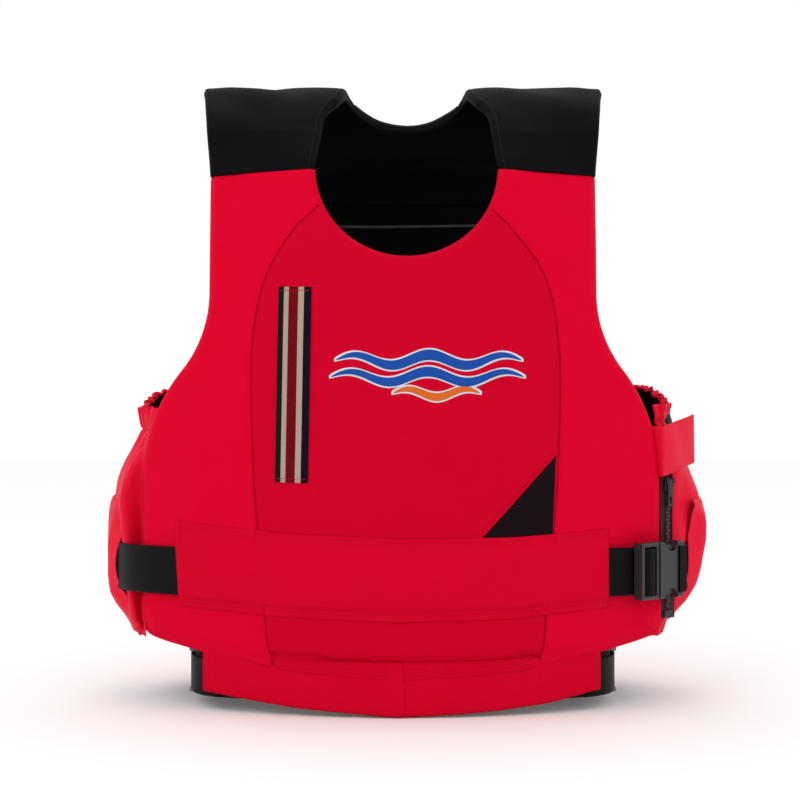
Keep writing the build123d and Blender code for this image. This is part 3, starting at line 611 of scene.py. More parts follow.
def build_pad(side):
    front = side == "front"
    loop = front_loop if front else back_loop
    V, F = triangulate(loop, CELL, rings=(1.2, 3.0, 5.5, 8.5), lines=[seam_right, seam_left, hem_crease])
    top = front_top(V) if front else back_top(V)
    bottom = pad_bottom_depth(V)
    place = front_place if front else back_place
    names = {
        "centre": lambda m: between_seams(m[:, 0], m[:, 1]),
        "left": lambda m: ~between_seams(m[:, 0], m[:, 1]) & (m[:, 0] < 0),
        "right": lambda m: ~between_seams(m[:, 0], m[:, 1]) & (m[:, 0] > 0),
    }
    for word, region in names.items():
        ob = slab(f"{side}_pad_cover_{word}", V, F, place, top, bottom, red_fabric if word == "centre" else red_outer_painted_light,
                  flip=not front, wall=6, bulge=1.2,
                  region=region, cap=False)
        extra = (f"{side}_foam_outer", f"{side}_foam_inner") if word == "centre" else ()
        on_vest(ob, "red_fabric", f"{side}_panel_{word}", *extra)
    nodes = ("front_lining",) if front else ("back_lining_lower", "back_lining_upper")
    ob = skin(f"{side}_pad_lining", V, F, place, bottom, lining_cloth, flip=front)
    on_vest(ob, "lining", *nodes)


build_pad("front")
build_pad("back")


# ---- shoulders: a cap that rises from the front pad's top edge over to the back ---------------------
ARCH_Z, ARCH_R, ARCH_T = 436.7, 90.3, 12.0
SEAM_Z, FOOT_Z = 445.0, 478.0
PHI0 = math.asin((FOOT_Z - ARCH_Z) / ARCH_R)
FOOT = FOOT_Z - SEAM_Z
S_END = 2 * FOOT + ARCH_R * (math.pi - 2 * PHI0)


def arch_s(y):
    """Distance along the shoulder from the front seam to where it passes over y."""
    return FOOT + ARCH_R * (math.acos(max(-1.0, min(1.0, -y / ARCH_R))) - PHI0)


def shoulder_place(P, depth):
    x, s0 = P[:, 0], P[:, 1]
    back = s0 > S_END / 2
    s = np.where(back, S_END - s0, s0)
    z_pad = SEAM_Z + np.minimum(s, 0)
    y_pad = C_WRAP + lean(z_pad) - np.sqrt(R_WRAP**2 - x**2)
    w = smooth(-2.0, FOOT * 1.25, s)
    foot_y = -ARCH_R * math.cos(PHI0)
    phi = PHI0 + (s - FOOT) / ARCH_R
    a = PHI0 * smooth(0, FOOT, s)
    low = s < FOOT
    y_arch = np.where(low, foot_y, -ARCH_R * np.cos(phi))
    z = np.where(low, SEAM_Z + s, ARCH_Z + ARCH_R * np.sin(phi))
    y = y_pad * (1 - w) + y_arch * w
    y = y + depth * np.where(low, np.cos(a), np.cos(phi))
    z = z - depth * np.where(low, np.sin(a), np.sin(phi))
    return np.stack([x, np.where(back, -y, y), z], 1)


NECK_PLAN = [(71.5, -80.3), (69.3, -70), (64.5, -59), (58, -49), (53.5, -32), (51.5, -12), (49.5, 10), (46, 27),
             (38.5, 41), (26, 51.5), (13, 55.5), (0, 56.5)]
neck_xs = [(NECK_R - 0.1, 0.0), (73.8, 14.0)] + [(x, arch_s(y)) for x, y in NECK_PLAN]
neck_half = curve(neck_xs, 2.4)
neck_left = [(NECK_X - x, s) for x, s in neck_half]
neck_right = [(NECK_X + x, s) for x, s in neck_half]


def shoulder_edge_x(s):
    s = np.minimum(s, S_END - s)
    return np.interp(s, [-3, 0, 33, 52, 85, 115, 132], [160.2, 160.4, 162.2, 164.0, 167.6, 171.5, 172.8])


outer_half = [(float(shoulder_edge_x(s)), s) for s in np.linspace(-2.5, S_END, 90)]
SPLIT_S = arch_s(30.0)
cap_loop = chain(
    [(-x, s) for x, s in outer_half[::-1]],
    line((-CHEST, -2.5), neck_left[0]),
    neck_left,
    neck_right[::-1],
    line(neck_right[0], (CHEST, -2.5)),
    outer_half,
    line((CHEST, S_END), (-CHEST, S_END)),
)
split_r = line((42.0, SPLIT_S), (175.0, SPLIT_S), 3.0)
split_l = [(-x, s) for x, s in split_r]
cap_neck = np.array(neck_left + neck_right[::-1])
cap_side_r = np.array(outer_half)
cap_side_l = cap_side_r * np.array([-1, 1])


def cap_top(P):
    x, s = P[:, 0], P[:, 1]
    d_neck = nearest(P, cap_neck)
    d_side = nearest(P, cap_side_r, cap_side_l)
    t = np.maximum(roll(d_neck, 4.0), roll(d_side, 3.0))
    t = np.maximum(t, roll(np.minimum(s + 2.5, S_END - s), 3.0) * 0.8)
    for q in (split_r, split_l):
        d = seg_distance(P, np.array(q), False)
        t = t + 1.3 * bell(d, 1.5) + 0.4 * bell(d, 7.0)
    # A binding runs round the neck edge, held by a row of stitches.
    t = t + 0.5 * bell(d_neck - 4.6, 1.0)
    fold = np.sin((x * 0.9 + s * 0.75) / 11.0) * smooth(30, 75, s) * (1 - smooth(110, 150, s)) * smooth(5, 25, d_side)
    return t - 1.1 * waves(P, 60.0, 21) - 0.8 * fold - 0.9 * smooth(0, 30, np.minimum(d_side, d_neck)) + 0.6


def build_shoulders():
    V, F = triangulate(cap_loop, CELL, rings=(1.2, 3.0, 5.5, 7.5), lines=[split_l, split_r])
    top = cap_top(V)
    rim_d = nearest(V, cap_neck, cap_side_r, cap_side_l)
    bottom = ARCH_T - 0.3 - roll(rim_d, 4.0)
    names = {
        "shoulder_left": (lambda m: (m[:, 1] < SPLIT_S) & (m[:, 0] < 0), "shoulder_pad_left"),
        "shoulder_right": (lambda m: (m[:, 1] < SPLIT_S) & (m[:, 0] >= 0), "shoulder_pad_right"),
        "yoke": (lambda m: m[:, 1] >= SPLIT_S, "back_yoke"),
    }
    for name, (region, node) in names.items():
        ob = slab(name + "_cover", V, F, shoulder_place, top, bottom, neoprene, wall=5, bulge=0.6, region=region)
        on_vest(ob, "neoprene", node)


build_shoulders()


# ---- strips and shells on a grid ------------------------------------------------------------------
def unit(v):
    return v / np.maximum(np.linalg.norm(v, axis=-1, keepdims=True), 1e-9)


def grid_normals(G, flip=False):
    """Normals of a grid of points, turned round with flip."""
    return unit(np.cross(np.gradient(G, axis=0), np.gradient(G, axis=1))) * (-1 if flip else 1)


def band(name, G, out, inn, material, uv, flip=False, rim=0.5):
    """A thin closed piece round a grid of points, out and inn being its faces' heights over the grid."""
    nu, nv = G.shape[:2]
    N = grid_normals(G, flip)
    out = np.broadcast_to(np.asarray(out, float), (nu, nv))[..., None]
    inn = np.broadcast_to(np.asarray(inn, float), (nu, nv))[..., None]
    O, I, M = G + N * out, G + N * inn, G + N * (out + inn) / 2
    index = np.arange(nu * nv).reshape(nu, nv)
    ring = [(i, 0) for i in range(nu - 1)] + [(nu - 1, j) for j in range(nv - 1)]
    ring += [(i, nv - 1) for i in range(nu - 1, 0, -1)] + [(0, j) for j in range(nv - 1, 0, -1)]
    push = np.zeros((nu, nv, 3))
    push[0] += unit(G[0] - G[1])
    push[-1] += unit(G[-1] - G[-2])
    push[:, 0] += unit(G[:, 0] - G[:, 1])
    push[:, -1] += unit(G[:, -1] - G[:, -2])
    M = M + unit(push) * (out - inn) * rim
    verts = [O.reshape(-1, 3), I.reshape(-1, 3), np.array([M[i, j] for i, j in ring])]
    faces = []
    for i in range(nu - 1):
        for j in range(nv - 1):
            q = (index[i, j], index[i + 1, j], index[i + 1, j + 1], index[i, j + 1])
            faces.append(q)
            faces.append(tuple(k + nu * nv for k in q[::-1]))
    n2 = nu * nv
    for k in range(len(ring)):
        a, b = ring[k], ring[(k + 1) % len(ring)]
        oa, ob_ = index[a], index[b]
        ma, mb = 2 * n2 + k, 2 * n2 + (k + 1) % len(ring)
        faces.append((ob_, oa, ma, mb))
        faces.append((mb, ma, oa + n2, ob_ + n2))
    uv = uv.reshape(-1, 2)
    uvs = np.concatenate([uv, uv, np.array([uv[index[p]] for p in ring])])
    if flip:
        faces = [f[::-1] for f in faces]
    return make_object(name, np.concatenate(verts), faces, material, uvs)


threads = {"red": [], "black": []}


def stitch_row(color, pts, nrm, pitch=3.1, length=2.3, r=0.24, lift=0.12):
    """A row of sewing-machine stitches along a line on a surface; they are joined into one piece at the end."""
    pts, nrm = np.asarray(pts), np.asarray(nrm)
    s = np.concatenate([[0], np.cumsum(np.linalg.norm(np.diff(pts, axis=0), axis=1))])
    at = lambda q, A: np.stack([np.interp(q, s, A[:, i]) for i in range(3)], 1)
    starts = np.arange(0.6, s[-1] - length, pitch)
    for share, radius, up in ((0.0, 0.35, -0.12), (0.2, 1.0, 0.0), (0.8, 1.0, 0.0), (1.0, 0.35, -0.12)):
        c = at(starts + share * length, pts)
        n = unit(at(starts + share * length, nrm))
        t = unit(at(np.minimum(starts + length, s[-1]), pts) - at(starts, pts))
        b = unit(np.cross(t, n))
        c = c + n * (lift + up)
        angles = np.arange(5) * 2 * math.pi / 5
        rows = [c + (n * math.sin(a) + b * math.cos(a)) * r * radius for a in angles]
        threads[color].append(np.stack(rows, 1))


def finish_threads(color, material, slot_name):
    verts, faces, base = [], [], 0
    groups = threads[color]
    for g in range(0, len(groups), 4):
        block = np.stack(groups[g : g + 4], 1)  # stitch, ring, side, xyz
        n = len(block)
        verts.append(block.reshape(-1, 3))
        for k in range(n):
            o = base + k * 20
            for ring in range(3):
                for a in range(5):
                    p, q = o + ring * 5 + a, o + ring * 5 + (a + 1) % 5
                    faces.append((p, q, q + 5, p + 5))
            faces.append(tuple(o + a for a in range(4, -1, -1)))
            faces.append(tuple(o + 15 + a for a in range(5)))
        base += n * 20
    ob = make_object("stitching_" + color, np.concatenate(verts), faces, material)
    on_vest(ob, slot_name)


def surface_line(fn, path, sign=1.0):
    path = np.asarray(path, float)
    p, px, pz = fn(path), fn(path + (0.4, 0)), fn(path + (0, 0.4))
    return p, unit(np.cross(px - p, pz - p)) * sign


front_skin = lambda P: front_place(P, front_top(P))
back_skin = lambda P: back_place(P, back_top(P))


# ---- waist belt tunnels -----------------------------------------------------------------------------
def tunnel(name, side, x0, x1, low, high, node, swell=-5.6, ends=(0.0, 0.0)):
    """A flat fabric tunnel sewn to the pad along its top and bottom, open at both ends."""
    place, cover = (front_place, front_top) if side == "front" else (back_place, back_top)
    nu, nv = ((150, 40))
    u = np.linspace(0, 1, nu)
    v = np.linspace(0, 1, nv)
    v = v - 0.055 * np.sin(2 * math.pi * v)
    U, W = np.meshgrid(u, v, indexing="ij")
    lo_z, hi_z = interp(x0 + (x1 - x0) * U, low), interp(x0 + (x1 - x0) * U, high)
    Z = lo_z + (hi_z - lo_z) * W
    X = x0 + (x1 - x0) * U
    X = X + np.where(U < 0.5, ends[0] * (1 - W) * (1 - 2 * U), ends[1] * (1 - W) * (2 * U - 1))
    P = np.stack([X.ravel(), Z.ravel()], 1)
    up, down = (Z - lo_z).ravel(), (hi_z - Z).ravel()
    full = smooth(4.5, 11.5, up) * smooth(3.5, 11.0, down)
    base = cover(P) - 1.0
    t = base * (1 - full) + (swell - 0.35 * waves(P, 70.0, 31) - 0.2 * waves(P, 22.0, 33)) * full
    t = np.minimum(t, cover(P) - 0.9)
    # the rows of stitches pull the tunnel down
    for row, edge in ((2.2, up), (6.2, up), (4.2, down)):
        t = t + 0.45 * bell(edge - row, 1.0)
    end = np.minimum(X - X.min(), X.max() - X).ravel()
    t = t - 0.5 * bell(end, 4.0) + 0.3 * bell(end - 3.6, 0.9)
    G = place(P, t).reshape(nu, nv, 3)
    flip = side != "front"
    ob = band(name, G, 0.35, -0.75, red_band_painted_light, np.stack([X, Z], 2), flip=flip)
    on_vest(ob, "red_fabric", node)
    N = grid_normals(G, flip)
    for share, kind in ((2.2, "up"), (6.2, "up"), (4.2, "down")):
        pts, nn = [], []
        upg, dng = up.reshape(nu, nv), down.reshape(nu, nv)
        for i in range(nu):
            d = upg[i] if kind == "up" else dng[i][::-1]
            g, m = (G[i], N[i]) if kind == "up" else (G[i][::-1], N[i][::-1])
            pts.append([np.interp(share, d, g[:, k]) for k in range(3)])
            nn.append([np.interp(share, d, m[:, k]) for k in range(3)])
        stitch_row("red", np.array(pts) + np.array(nn) * 0.35, nn)
    for i in (1, nu - 2):
        stitch_row("red", G[i] + N[i] * 0.35, N[i])


# A copy of the red nylon with its own brightness for the tunnels and hem bands: painted light and shade.
red_band_painted_light = cloth_material("red_nylon_band_painted_light", (0.60, 0.0003, 0.0200), 0.7, 0.9, 0.05, 0.01, (1.0, 0.02, 0.05),
                         soft_mm=0.4, specular=0.03)
tunnel("belt_tunnel_cover_front", "front", -188.0, 168.0, {-188: 86.5, -95: 81.5, 0: 78.5, 90: 80.5, 168: 86.0},
       {-188: 155.5, -95: 148.0, 0: 144.3, 90: 145.0, 168: 149.5}, "belt_tunnel_front", ends=(4.0, 0.0))
tunnel("belt_tunnel_cover_back", "back", -181.0, 181.0, {-181: 85.0, 0: 80.0, 181: 85.0},
       {-181: 151.0, 0: 146.0, 181: 151.0}, "belt_tunnel_back")


# ---- webbing ----------------------------------------------------------------------------------------
def ribbon(name, path, z0, z1, thick, *nodes, body="vest", seed):
    """A strap standing on edge along a path in plan, with a slightly thicker selvedge."""
    path = np.asarray(path, float)
    nv = 13
    w = np.linspace(0, 1, nv)
    s = np.concatenate([[0], np.cumsum(np.linalg.norm(np.diff(path, axis=0), axis=1))])
    G = np.zeros((len(path), nv, 3))
    G[:, :, 0], G[:, :, 1] = path[:, 0][:, None], path[:, 1][:, None]
    G[:, :, 2] = z0 + (z1 - z0) * w[None, :]
    edge = np.minimum(w, 1 - w) * (z1 - z0)
    P = np.stack(np.broadcast_arrays(s[:, None], G[:, :, 2]), 2)
    wob = 0.25 * waves(P.reshape(-1, 2), 40.0, seed).reshape(len(path), nv)
    sel = 0.18 * bell(edge - 1.6, 1.3)[None, :]
    ob = band(name, G, thick / 2 + wob * 0.4 + sel, -thick / 2 + wob * 0.4 - sel, webbing, P)
    if body is None:  # the caller keeps it without a body
        return ob
    return on_vest(ob, "webbing", *nodes, body=body)


BELT_R, BELT_SIDE_X, BELT_SIDE_R = 397.5, 164.299, 85.7
BELT_LOW, BELT_HIGH, WEBBING_THICK = 96, 134, 1.6
tangent = math.degrees(math.atan2(-C_WRAP, BELT_SIDE_X))
start_deg = math.degrees(math.atan2(-math.sqrt(BELT_R**2 - 100.0**2), 100.0))
belt_path = chain(
    arc(0, C_WRAP, BELT_R, start_deg, -180 - tangent),
    arc(-BELT_SIDE_X, 0, BELT_SIDE_R, -180 - tangent, -180 + tangent),
    arc(0, -C_WRAP, BELT_R, 180 + tangent, -tangent),
    arc(BELT_SIDE_X, 0, BELT_SIDE_R, -tangent, -math.degrees(math.asin(30.0 / BELT_SIDE_R))),
)
ribbon("waist_belt_web", belt_path, BELT_LOW, BELT_HIGH, WEBBING_THICK, "waist_belt", seed=41)
end_path = curve([(101, -119.45), (120, -113.95), (140, -107.0), (156, -100.6), (168, -96.0), (178, -94.0),
                  (186.2, -91.0), (192.2, -86.4), (196.6, -82.8)], 2.0)
belt_end = ribbon("waist_belt_end_web", end_path, BELT_LOW, BELT_HIGH, WEBBING_THICK, body=None, seed=43)
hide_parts("waist_belt_end")
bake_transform(belt_end)
BUCKLE_X, BUCKLE_Y, BUCKLE_TURN = 220.8, -71.4, math.radians(40)


def beside_bar(s, out):
    """A point in plan, given along the buckle and outwards from its middle plane."""
    return (BUCKLE_X + s * math.cos(BUCKLE_TURN) + out * math.sin(BUCKLE_TURN),
            BUCKLE_Y + s * math.sin(BUCKLE_TURN) - out * math.cos(BUCKLE_TURN))


# The webbing's loop over the plug's bar, which fills the ladder.
OVER_BAR = ((-32.2, -2.5), (-31.4, 2.6), (-29.0, 5.3), (-25.8, 6.0), (-22.4, 5.2), (-20.2, 2.6), (-19.4, -2.5))
over_bar = [beside_bar(s, out) for s, out in OVER_BAR]
ribbon("plug_webbing", curve(over_bar, 1.0), 96.6, 133.4, 1.4, body="plug", seed=49)

LOW_R, LOW_X, LOW_CX, LOW_CY, LOW_CR = 383.8, 178.0, 133.0, -47.4, 45.0
low_t = math.degrees(math.atan2(LOW_CY - C_WRAP, LOW_CX))
low_half = chain(arc(0, C_WRAP, LOW_R, -90, low_t), arc(LOW_CX, LOW_CY, LOW_CR, low_t, 0),
                 line((LOW_X, LOW_CY), (LOW_X, 0)))
quarter = [tuple(p) for p in low_half]
full_path = (
    quarter + [(x, -y) for x, y in quarter[::-1]] + [(-x, -y) for x, y in quarter]
    + [(-x, y) for x, y in quarter[::-1]]
)
full_path = [p for i, p in enumerate(full_path) if i == 0 or math.dist(p, full_path[i - 1]) > 0.1]
ribbon("lower_strap_web", full_path, 12, 42, WEBBING_THICK, "lower_strap", seed=45)


# ---- lower tunnels along the hem ------------------------------------------------------------------------
def hem_band(name, side, bottom_table, top_table, node, crease_x=None):
    nu, nv = ((140, 26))
    x0, x1 = min(bottom_table), max(bottom_table)
    columns = np.linspace(x0, x1, nu)
    if crease_x is not None:  # finer beside the crease
        columns = np.sort(np.concatenate([columns, np.arange(-5, 5.1, 0.8) + crease_x]))
        nu = len(columns)
    U, W = np.meshgrid(columns, np.linspace(0, 1, nv), indexing="ij")
    lo_z, hi_z = interp(U, bottom_table), interp(U, top_table)
    Z = lo_z + (hi_z - lo_z) * W
    P = np.stack([U.ravel(), Z.ravel()], 1)
    up = (Z - lo_z).ravel()
    end = np.minimum(U - x0, x1 - U).ravel()
    R = (
        388.8 - roll(up, 5.0) * 0.7 + 0.35 * waves(P, 55.0, 51) * smooth(0, 10, end)
        + 0.25 * waves(P, 18.0, 52, (1, 3))
    )
    R = R - 0.5 * bell(end - 4.0, 0.9)
    if crease_x is not None:
        d = P[:, 0] - crease_x - 0.8 * np.sin(P[:, 1] / 9.0)
        R = R + 1.5 * (1 - smooth(-1.0, 1.0, d)) * np.exp(-np.abs(np.minimum(d, 0)) / 14.0) - 0.9 * bell(d - 1.4, 1.1)
    y = C_WRAP - np.sqrt(R**2 - P[:, 0] ** 2)
    G = np.stack([P[:, 0], y if side == "front" else -y, P[:, 1]], 1).reshape(nu, nv, 3)
    flip = side != "front"
    # front face, folded under at the bottom, and the back face
    ob = band(name, G, 0.0, -8.2, red_band_painted_light, np.stack([U, Z], 2), flip=flip, rim=0.12)
    on_vest(ob, "red_fabric", node)
    N = grid_normals(G, flip)
    for i in (2, nu - 3):
        stitch_row("red", G[i] + N[i] * 0.1, N[i], pitch=2.6, length=2.0)


hem_band("lower_band_front", "front",
         {-165: 15.5, -124: 10.5, -83: 5.6, -42: 2.9, -8: 0.3, 8: 0.3, 42: 2.0, 78: 4.2, 119: 8.6, 163: 17.0},
         {-165: 52.0, -124: 47.0, -83: 45.0, 0: 45.0, 119: 47.0, 163: 53.0}, "lower_tunnel_front", crease_x=0.0)
hem_band("lower_band_back", "back", {-163: 8.0, -110: 1.5, -60: 0.4, 60: 0.4, 110: 1.5, 163: 8.0},
         {-163: 53.0, -119: 46.0, 0: 45.0, 119: 46.0, 163: 53.0}, "lower_tunnel_back")


# ---- sides ------------------------------------------------------------------------------------------
def pad_edge_x(z):
    """The pad's outer edge at a height."""
    run = side_edge_r[side_edge_r[:, 1].argsort()]
    return np.interp(z, run[:, 1], run[:, 0])


SIDE = {
    "left": {58: 231, 64: 236, 72: 240, 96: 243.5, 130: 245.5, 172: 250.0, 186: 247.8, 196: 244.5, 205: 240.0,
             213: 235, 222: 229.5,
             228: 226.0, 231: 224.5, 236: 225.5, 250: 225.0},
    "right": {58: 226, 66: 229.5, 74: 234, 96: 243, 130: 248, 160: 256, 166: 259, 177: 256.5, 190: 251.5, 198: 248,
              208: 240.5, 228: 236,
              234: 233.5, 238: 231.5, 243: 232, 252: 230},
}
COVER = {
    "left": {57: 234, 62: 236.5, 71: 242.0, 80: 248.5, 90: 253.5, 106: 255.6, 130: 256.3, 150: 255.5, 160: 254.8,
             168: 253.4, 172: 251.6, 175: 250.2},
    "right": {67: 231, 71: 235.5, 76: 240.5, 83: 247, 90: 251, 98: 255, 114: 260, 135: 263.8, 150: 264, 158: 263,
              164: 261.2, 168: 260, 172: 258.4},
}


PINCH = {"left": 230.5, "right": 237.5}  # height of the seam under the elastic channel
SIDE_TOP = {"left": 250.0, "right": 252.0}
SIDE_LENGTH = 172.0  # of the panel in plan, from join to join


def hem_rise(y, z):
    """How much the side's top rises towards the back."""
    return smooth(-10.0, 52.0, y) * smooth(215, 246, z) * 17.0


def side_grid(side, zs, u):
    """Points of the side panel in plan for each height, from the front join round to the back join."""
    table = SIDE[side]
    rows = []
    for z in zs:
        ext = float(interp(z, table))
        edge = float(pad_edge_x(z))
        yw = C_WRAP + float(lean(z)) - math.sqrt(R_WRAP**2 - edge**2)
        v = 9.0 * (1 - float(smooth(165, 222, z)))
        if side == "left":
            wide = edge + WIDER_LEFT * (1 - float(smooth(190, 330, z)))
            first = [(wide - 2.0, yw + 10.0), (wide + 2.5, yw + 17.0 + v * 1.25),
                     (ext - 17.0 + v * 0.35, -47.0 + v * 0.1), (ext - 12.0 + v * 0.25, -44.5)]
            last = [(ext - 12.0, 45.5), (ext - 19.0, 49.0), (wide + 3.0, -yw - 15.0), (wide - 2.5, -yw - 12.0)]
        else:
            root = min(ext - 16.0, 230.5)
            first = [(root - 2.6, -50.6), (root - 0.6, -50.4), (root + 2.6, -48.6), (root + 6.8, -44.0)]
            last = [(ext - 12.0, 45.5), (min(ext - 19.0, 232.0), 49.0), (edge + 3.0, -yw - 15.0),
                    (edge - 2.5, -yw - 12.0)]
        pts = first + [(ext - 5.3, -30.0), (ext - 1.3, -15.0), (ext, 0.0), (ext - 1.3, 15.0),
                       (ext - 5.3, 30.0)] + last
        c = np.array(curve(pts, 1.0))
        s = np.linspace(0, 1, len(c))
        rows.append(np.stack([np.interp(u, s, c[:, 0]), np.interp(u, s, c[:, 1]), np.full(len(u), z)], 1))
    return np.stack(rows, 1)  # u, z, xyz


def gathers(U, Z, seed, side):
    """Heights of the small folds that the elastic draws together at the top, and at the bottom edge."""
    rng = np.random.default_rng(seed)
    a, b, c = rng.uniform(0, 6, 3)
    phase = U / 12.5 * 2 * math.pi + 1.4 * np.sin(U / 23.0 + a)
    ridge = np.sin(phase) + 0.5 * np.sin(phase * 1.63 + b + Z * 0.02) + 0.3 * np.sin(phase * 0.45 + c)
    pinch = PINCH[side]
    below = 1.7 * np.exp(-np.maximum(pinch - Z, 0) / 20.0)
    above = 3.2 * smooth(pinch, pinch + 16, Z)
    up = np.where(Z < pinch, below, 1.5 + above * 0.6)
    foot = 1.4 * np.exp(-np.maximum(Z - 58, 0) / 9.0)
    return ridge * (up + foot) * 0.8


def build_side(side):
    sx = -1.0 if side == "left" else 1.0
    seed = 61 if side == "left" else 71
    nu = 150
    top_z, length = SIDE_TOP[side], SIDE_LENGTH
    zs = np.concatenate([np.arange(57, 74, 2.2), np.arange(75, 176, 5.0), np.arange(178, 222, 3.2),
                         np.arange(223, top_z, 1.6)])
    u = np.linspace(0, 1, nu)
    G = side_grid(side, zs, u)
    U, Z = np.meshgrid(u * length, zs, indexing="ij")
    G[:, :, 2] += hem_rise(G[:, :, 1], Z)
    flip = side == "left"
    G[:, :, 0] *= sx
    N = grid_normals(G, flip)

    def folds(U, Z):
        """Height of the side's folds and puffs, for the cover and the lining behind it."""
        P = np.stack([U.ravel(), Z.ravel()], 1)
        puff = (
            0.9 * waves(P, 60.0, seed, (1.0, 1.5)).reshape(U.shape)
            + 0.35 * waves(P, 22.0, seed + 1, (1.0, 2.0)).reshape(U.shape)
        )
        h = (puff * 0.8 + gathers(U, Z, seed, side)) * smooth(0, 12, U) * smooth(0, 12, length - U)
        if side == "right":  # flat under the hook-and-loop patch
            h = (
                h * (1 - smooth(200, 208, Z) * (1 - smooth(245, 249, Z)) * smooth(8, 14, U) * (1 - smooth(56, 64, U)))
                - 0.3
            )
        return h - 1.0 * bell(Z - PINCH[side], 1.8)

    ends = smooth(0, 12, U) * smooth(0, 12, length - U)
    h = folds(U, Z)
    ruffle = 1.3 * np.sin(U / 5.1 * 2 * math.pi + 2.0 * np.sin(U / 13.0)) * smooth(top_z - 9, top_z, Z) * ends
    G = G + N * (h + ruffle)[..., None]
    G[:, :, 2] += (0.9 * np.sin(U / 7.3 * 2 * math.pi + 1.1 * np.sin(U / 11.0)) * smooth(top_z - 10, top_z, Z)) * ends
    gusset = ("gusset_front_left", "gusset_back_left") if side == "left" else ("gusset_back_right",)
    ob = band(f"side_{side}_cover", G, 0.4, -0.7, red_side_painted_light, np.stack([U, Z], 2), flip=flip)
    on_vest(ob, "red_fabric", f"side_panel_{side}", f"side_foam_{side}", f"side_hem_{side}", f"side_elastic_{side}",
            *gusset)
    # lining
    zl = np.concatenate([np.arange(60, 228, 8.0), np.arange(229, top_z - 1.5, 2.5)])
    ul = np.linspace(0.03, 0.97, 100)
    L = side_grid(side, zl, ul)
    UL, ZL = np.meshgrid(ul * length, zl, indexing="ij")
    L[:, :, 2] += hem_rise(L[:, :, 1], ZL)
    L[:, :, 0] *= sx
    ln = grid_normals(L, flip)
    near_top = smooth(222, 240, ZL)  # there the lining lies close behind the cover and takes its folds
    inset = 7.0 - 3.2 * near_top - 4.5 * (1 - smooth(60, 72, ZL))
    L = L - ln * (inset + 0.6 * np.sin(UL / 8.0) * (1 - near_top) - folds(UL, ZL) * near_top)[..., None]
    ob = band(f"side_{side}_lining", L, 0.3, -0.3, lining_cloth, np.stack([UL, ZL], 2), flip=flip)
    on_vest(ob, "lining", f"side_lining_{side}")
    # belt cover
    table, panel = COVER[side], SIDE[side]
    low_z, high_z = (57.0, 175.0) if side == "left" else (67.5, 171.0)
    zc = np.concatenate([np.arange(low_z, 90, 2.6), np.arange(91, 150, 3.0), np.arange(151, high_z, 2.2)])
    nc = 84
    w = np.linspace(0, 1, nc)
    WC, ZC = np.meshgrid(w, zc, indexing="ij")
    slit = slit_f = np.sin(math.pi * np.clip((ZC - 86) / 60.0, 0, 1)) ** 0.8
    y_front = -46.0 + 12.5 * slit_f
    if side == "right":
        slit_f = smooth(80, 112, ZC) * (1 - smooth(140, 170, ZC))
        y_front = interp(ZC, {67: -46.0, 90: -44.0, 104: -40.0, 118: -38.0, 140: -39.5, 158: -42.5, 171: -45.0})
    y_back = 46.0 - 9.0 * slit
    Y = y_front + (y_back - y_front) * WC
    ext_p, ext_c = interp(ZC, panel), interp(ZC, table)
    xp = ext_p - 86.9 + np.sqrt(86.9**2 - Y**2)
    xb = BELT_SIDE_X + np.sqrt((BELT_SIDE_R + 0.9) ** 2 - Y**2)
    front_d, back_d = Y - y_front, y_back - Y
    free = np.where(WC < 0.5, slit_f, slit)
    at_edge = (xp + 1.0) * (1 - free) + (np.maximum(xb, xp) + 1.6) * free
    inner = smooth(0, 15, np.minimum(front_d, back_d))
    target = ext_c - 88.0 + np.sqrt(88.0**2 - Y**2)
    X = at_edge * (1 - inner) + target * inner
    PC = np.stack([Y.ravel(), ZC.ravel()], 1)
    near_top = np.exp(-np.abs(high_z - ZC) / 12.0)
    pucker = (
        near_top * 0.7 * np.sin(Y / 4.6 + 1.3 * np.sin(Y / 13.0))
        + 1.2 * np.exp(-np.abs(ZC - low_z) / 10.0) * np.sin(Y / 3.9 + np.sin(Y / 9.0))
    )
    swell = 1.0 * waves(PC, 44.0, seed + 5, (1.0, 1.3)).reshape(Y.shape)
    X = X + swell * inner + pucker * smooth(0, 6, np.minimum(front_d, back_d))
    C = np.stack([X * sx, Y, ZC], 2)
    ob = band(f"side_{side}_belt_cover", C, 0.4, -0.6, red_side_painted_light, np.stack([Y, ZC], 2), flip=flip)
    on_vest(ob, "red_fabric", f"side_belt_cover_{side}")
    CN = grid_normals(C, flip)
    # A black sheet just behind the belt cover. It is partly the cover's lining and partly painted shade that makes
    # the slit look dark.
    ob = band(f"side_{side}_belt_cover_lining_painted_shade", (C - CN * 1.1)[1:-1, 1:-1], 0.25, -0.25, lining_cloth,
              np.stack([Y, ZC], 2)[1:-1, 1:-1], flip=flip)
    on_vest(ob, "lining")
    stitch_row("red", C[:, -2] + CN[:, -2] * 0.4, CN[:, -2])
    stitch_row("red", C[1] + CN[1] * 0.4, CN[1])


build_side("left")
build_side("right")


# ---- storm flap -------------------------------------------------------------------------------------
HINGE, TIP = np.array([217.4, -67.1098]), np.array([250.0, -22.0])
FLAP_DIR = (TIP - HINGE) / np.linalg.norm(TIP - HINGE)
FLAP_LEN = float(np.linalg.norm(TIP - HINGE))


def flap_shape(u, w):
    """A point of the flap: u along it from the hinge, w up its width, both 0 to 1."""
    low = 192.8 + 9.5 * u
    high = 233.0 + 10.0 * u
    z = low + (high - low) * w
    out = (
        1.6 * np.sin(math.pi * u) * (0.6 + 0.4 * np.sin(3.0 * w))
        + 1.1 * np.sin(2 * math.pi * (u * 0.9 + w * 0.35)) * u * (1 - u) * 4 - 1.2 * u**3 * (1 - w)
    )
    reach = u * (FLAP_LEN + 3.5 * (1 - w) * u)
    xy = HINGE + np.stack([FLAP_DIR[0] * reach, FLAP_DIR[1] * reach], -1)
    side_n = np.array([FLAP_DIR[1], -FLAP_DIR[0]])
    return np.concatenate([xy + side_n * out[..., None], z[..., None]], -1)


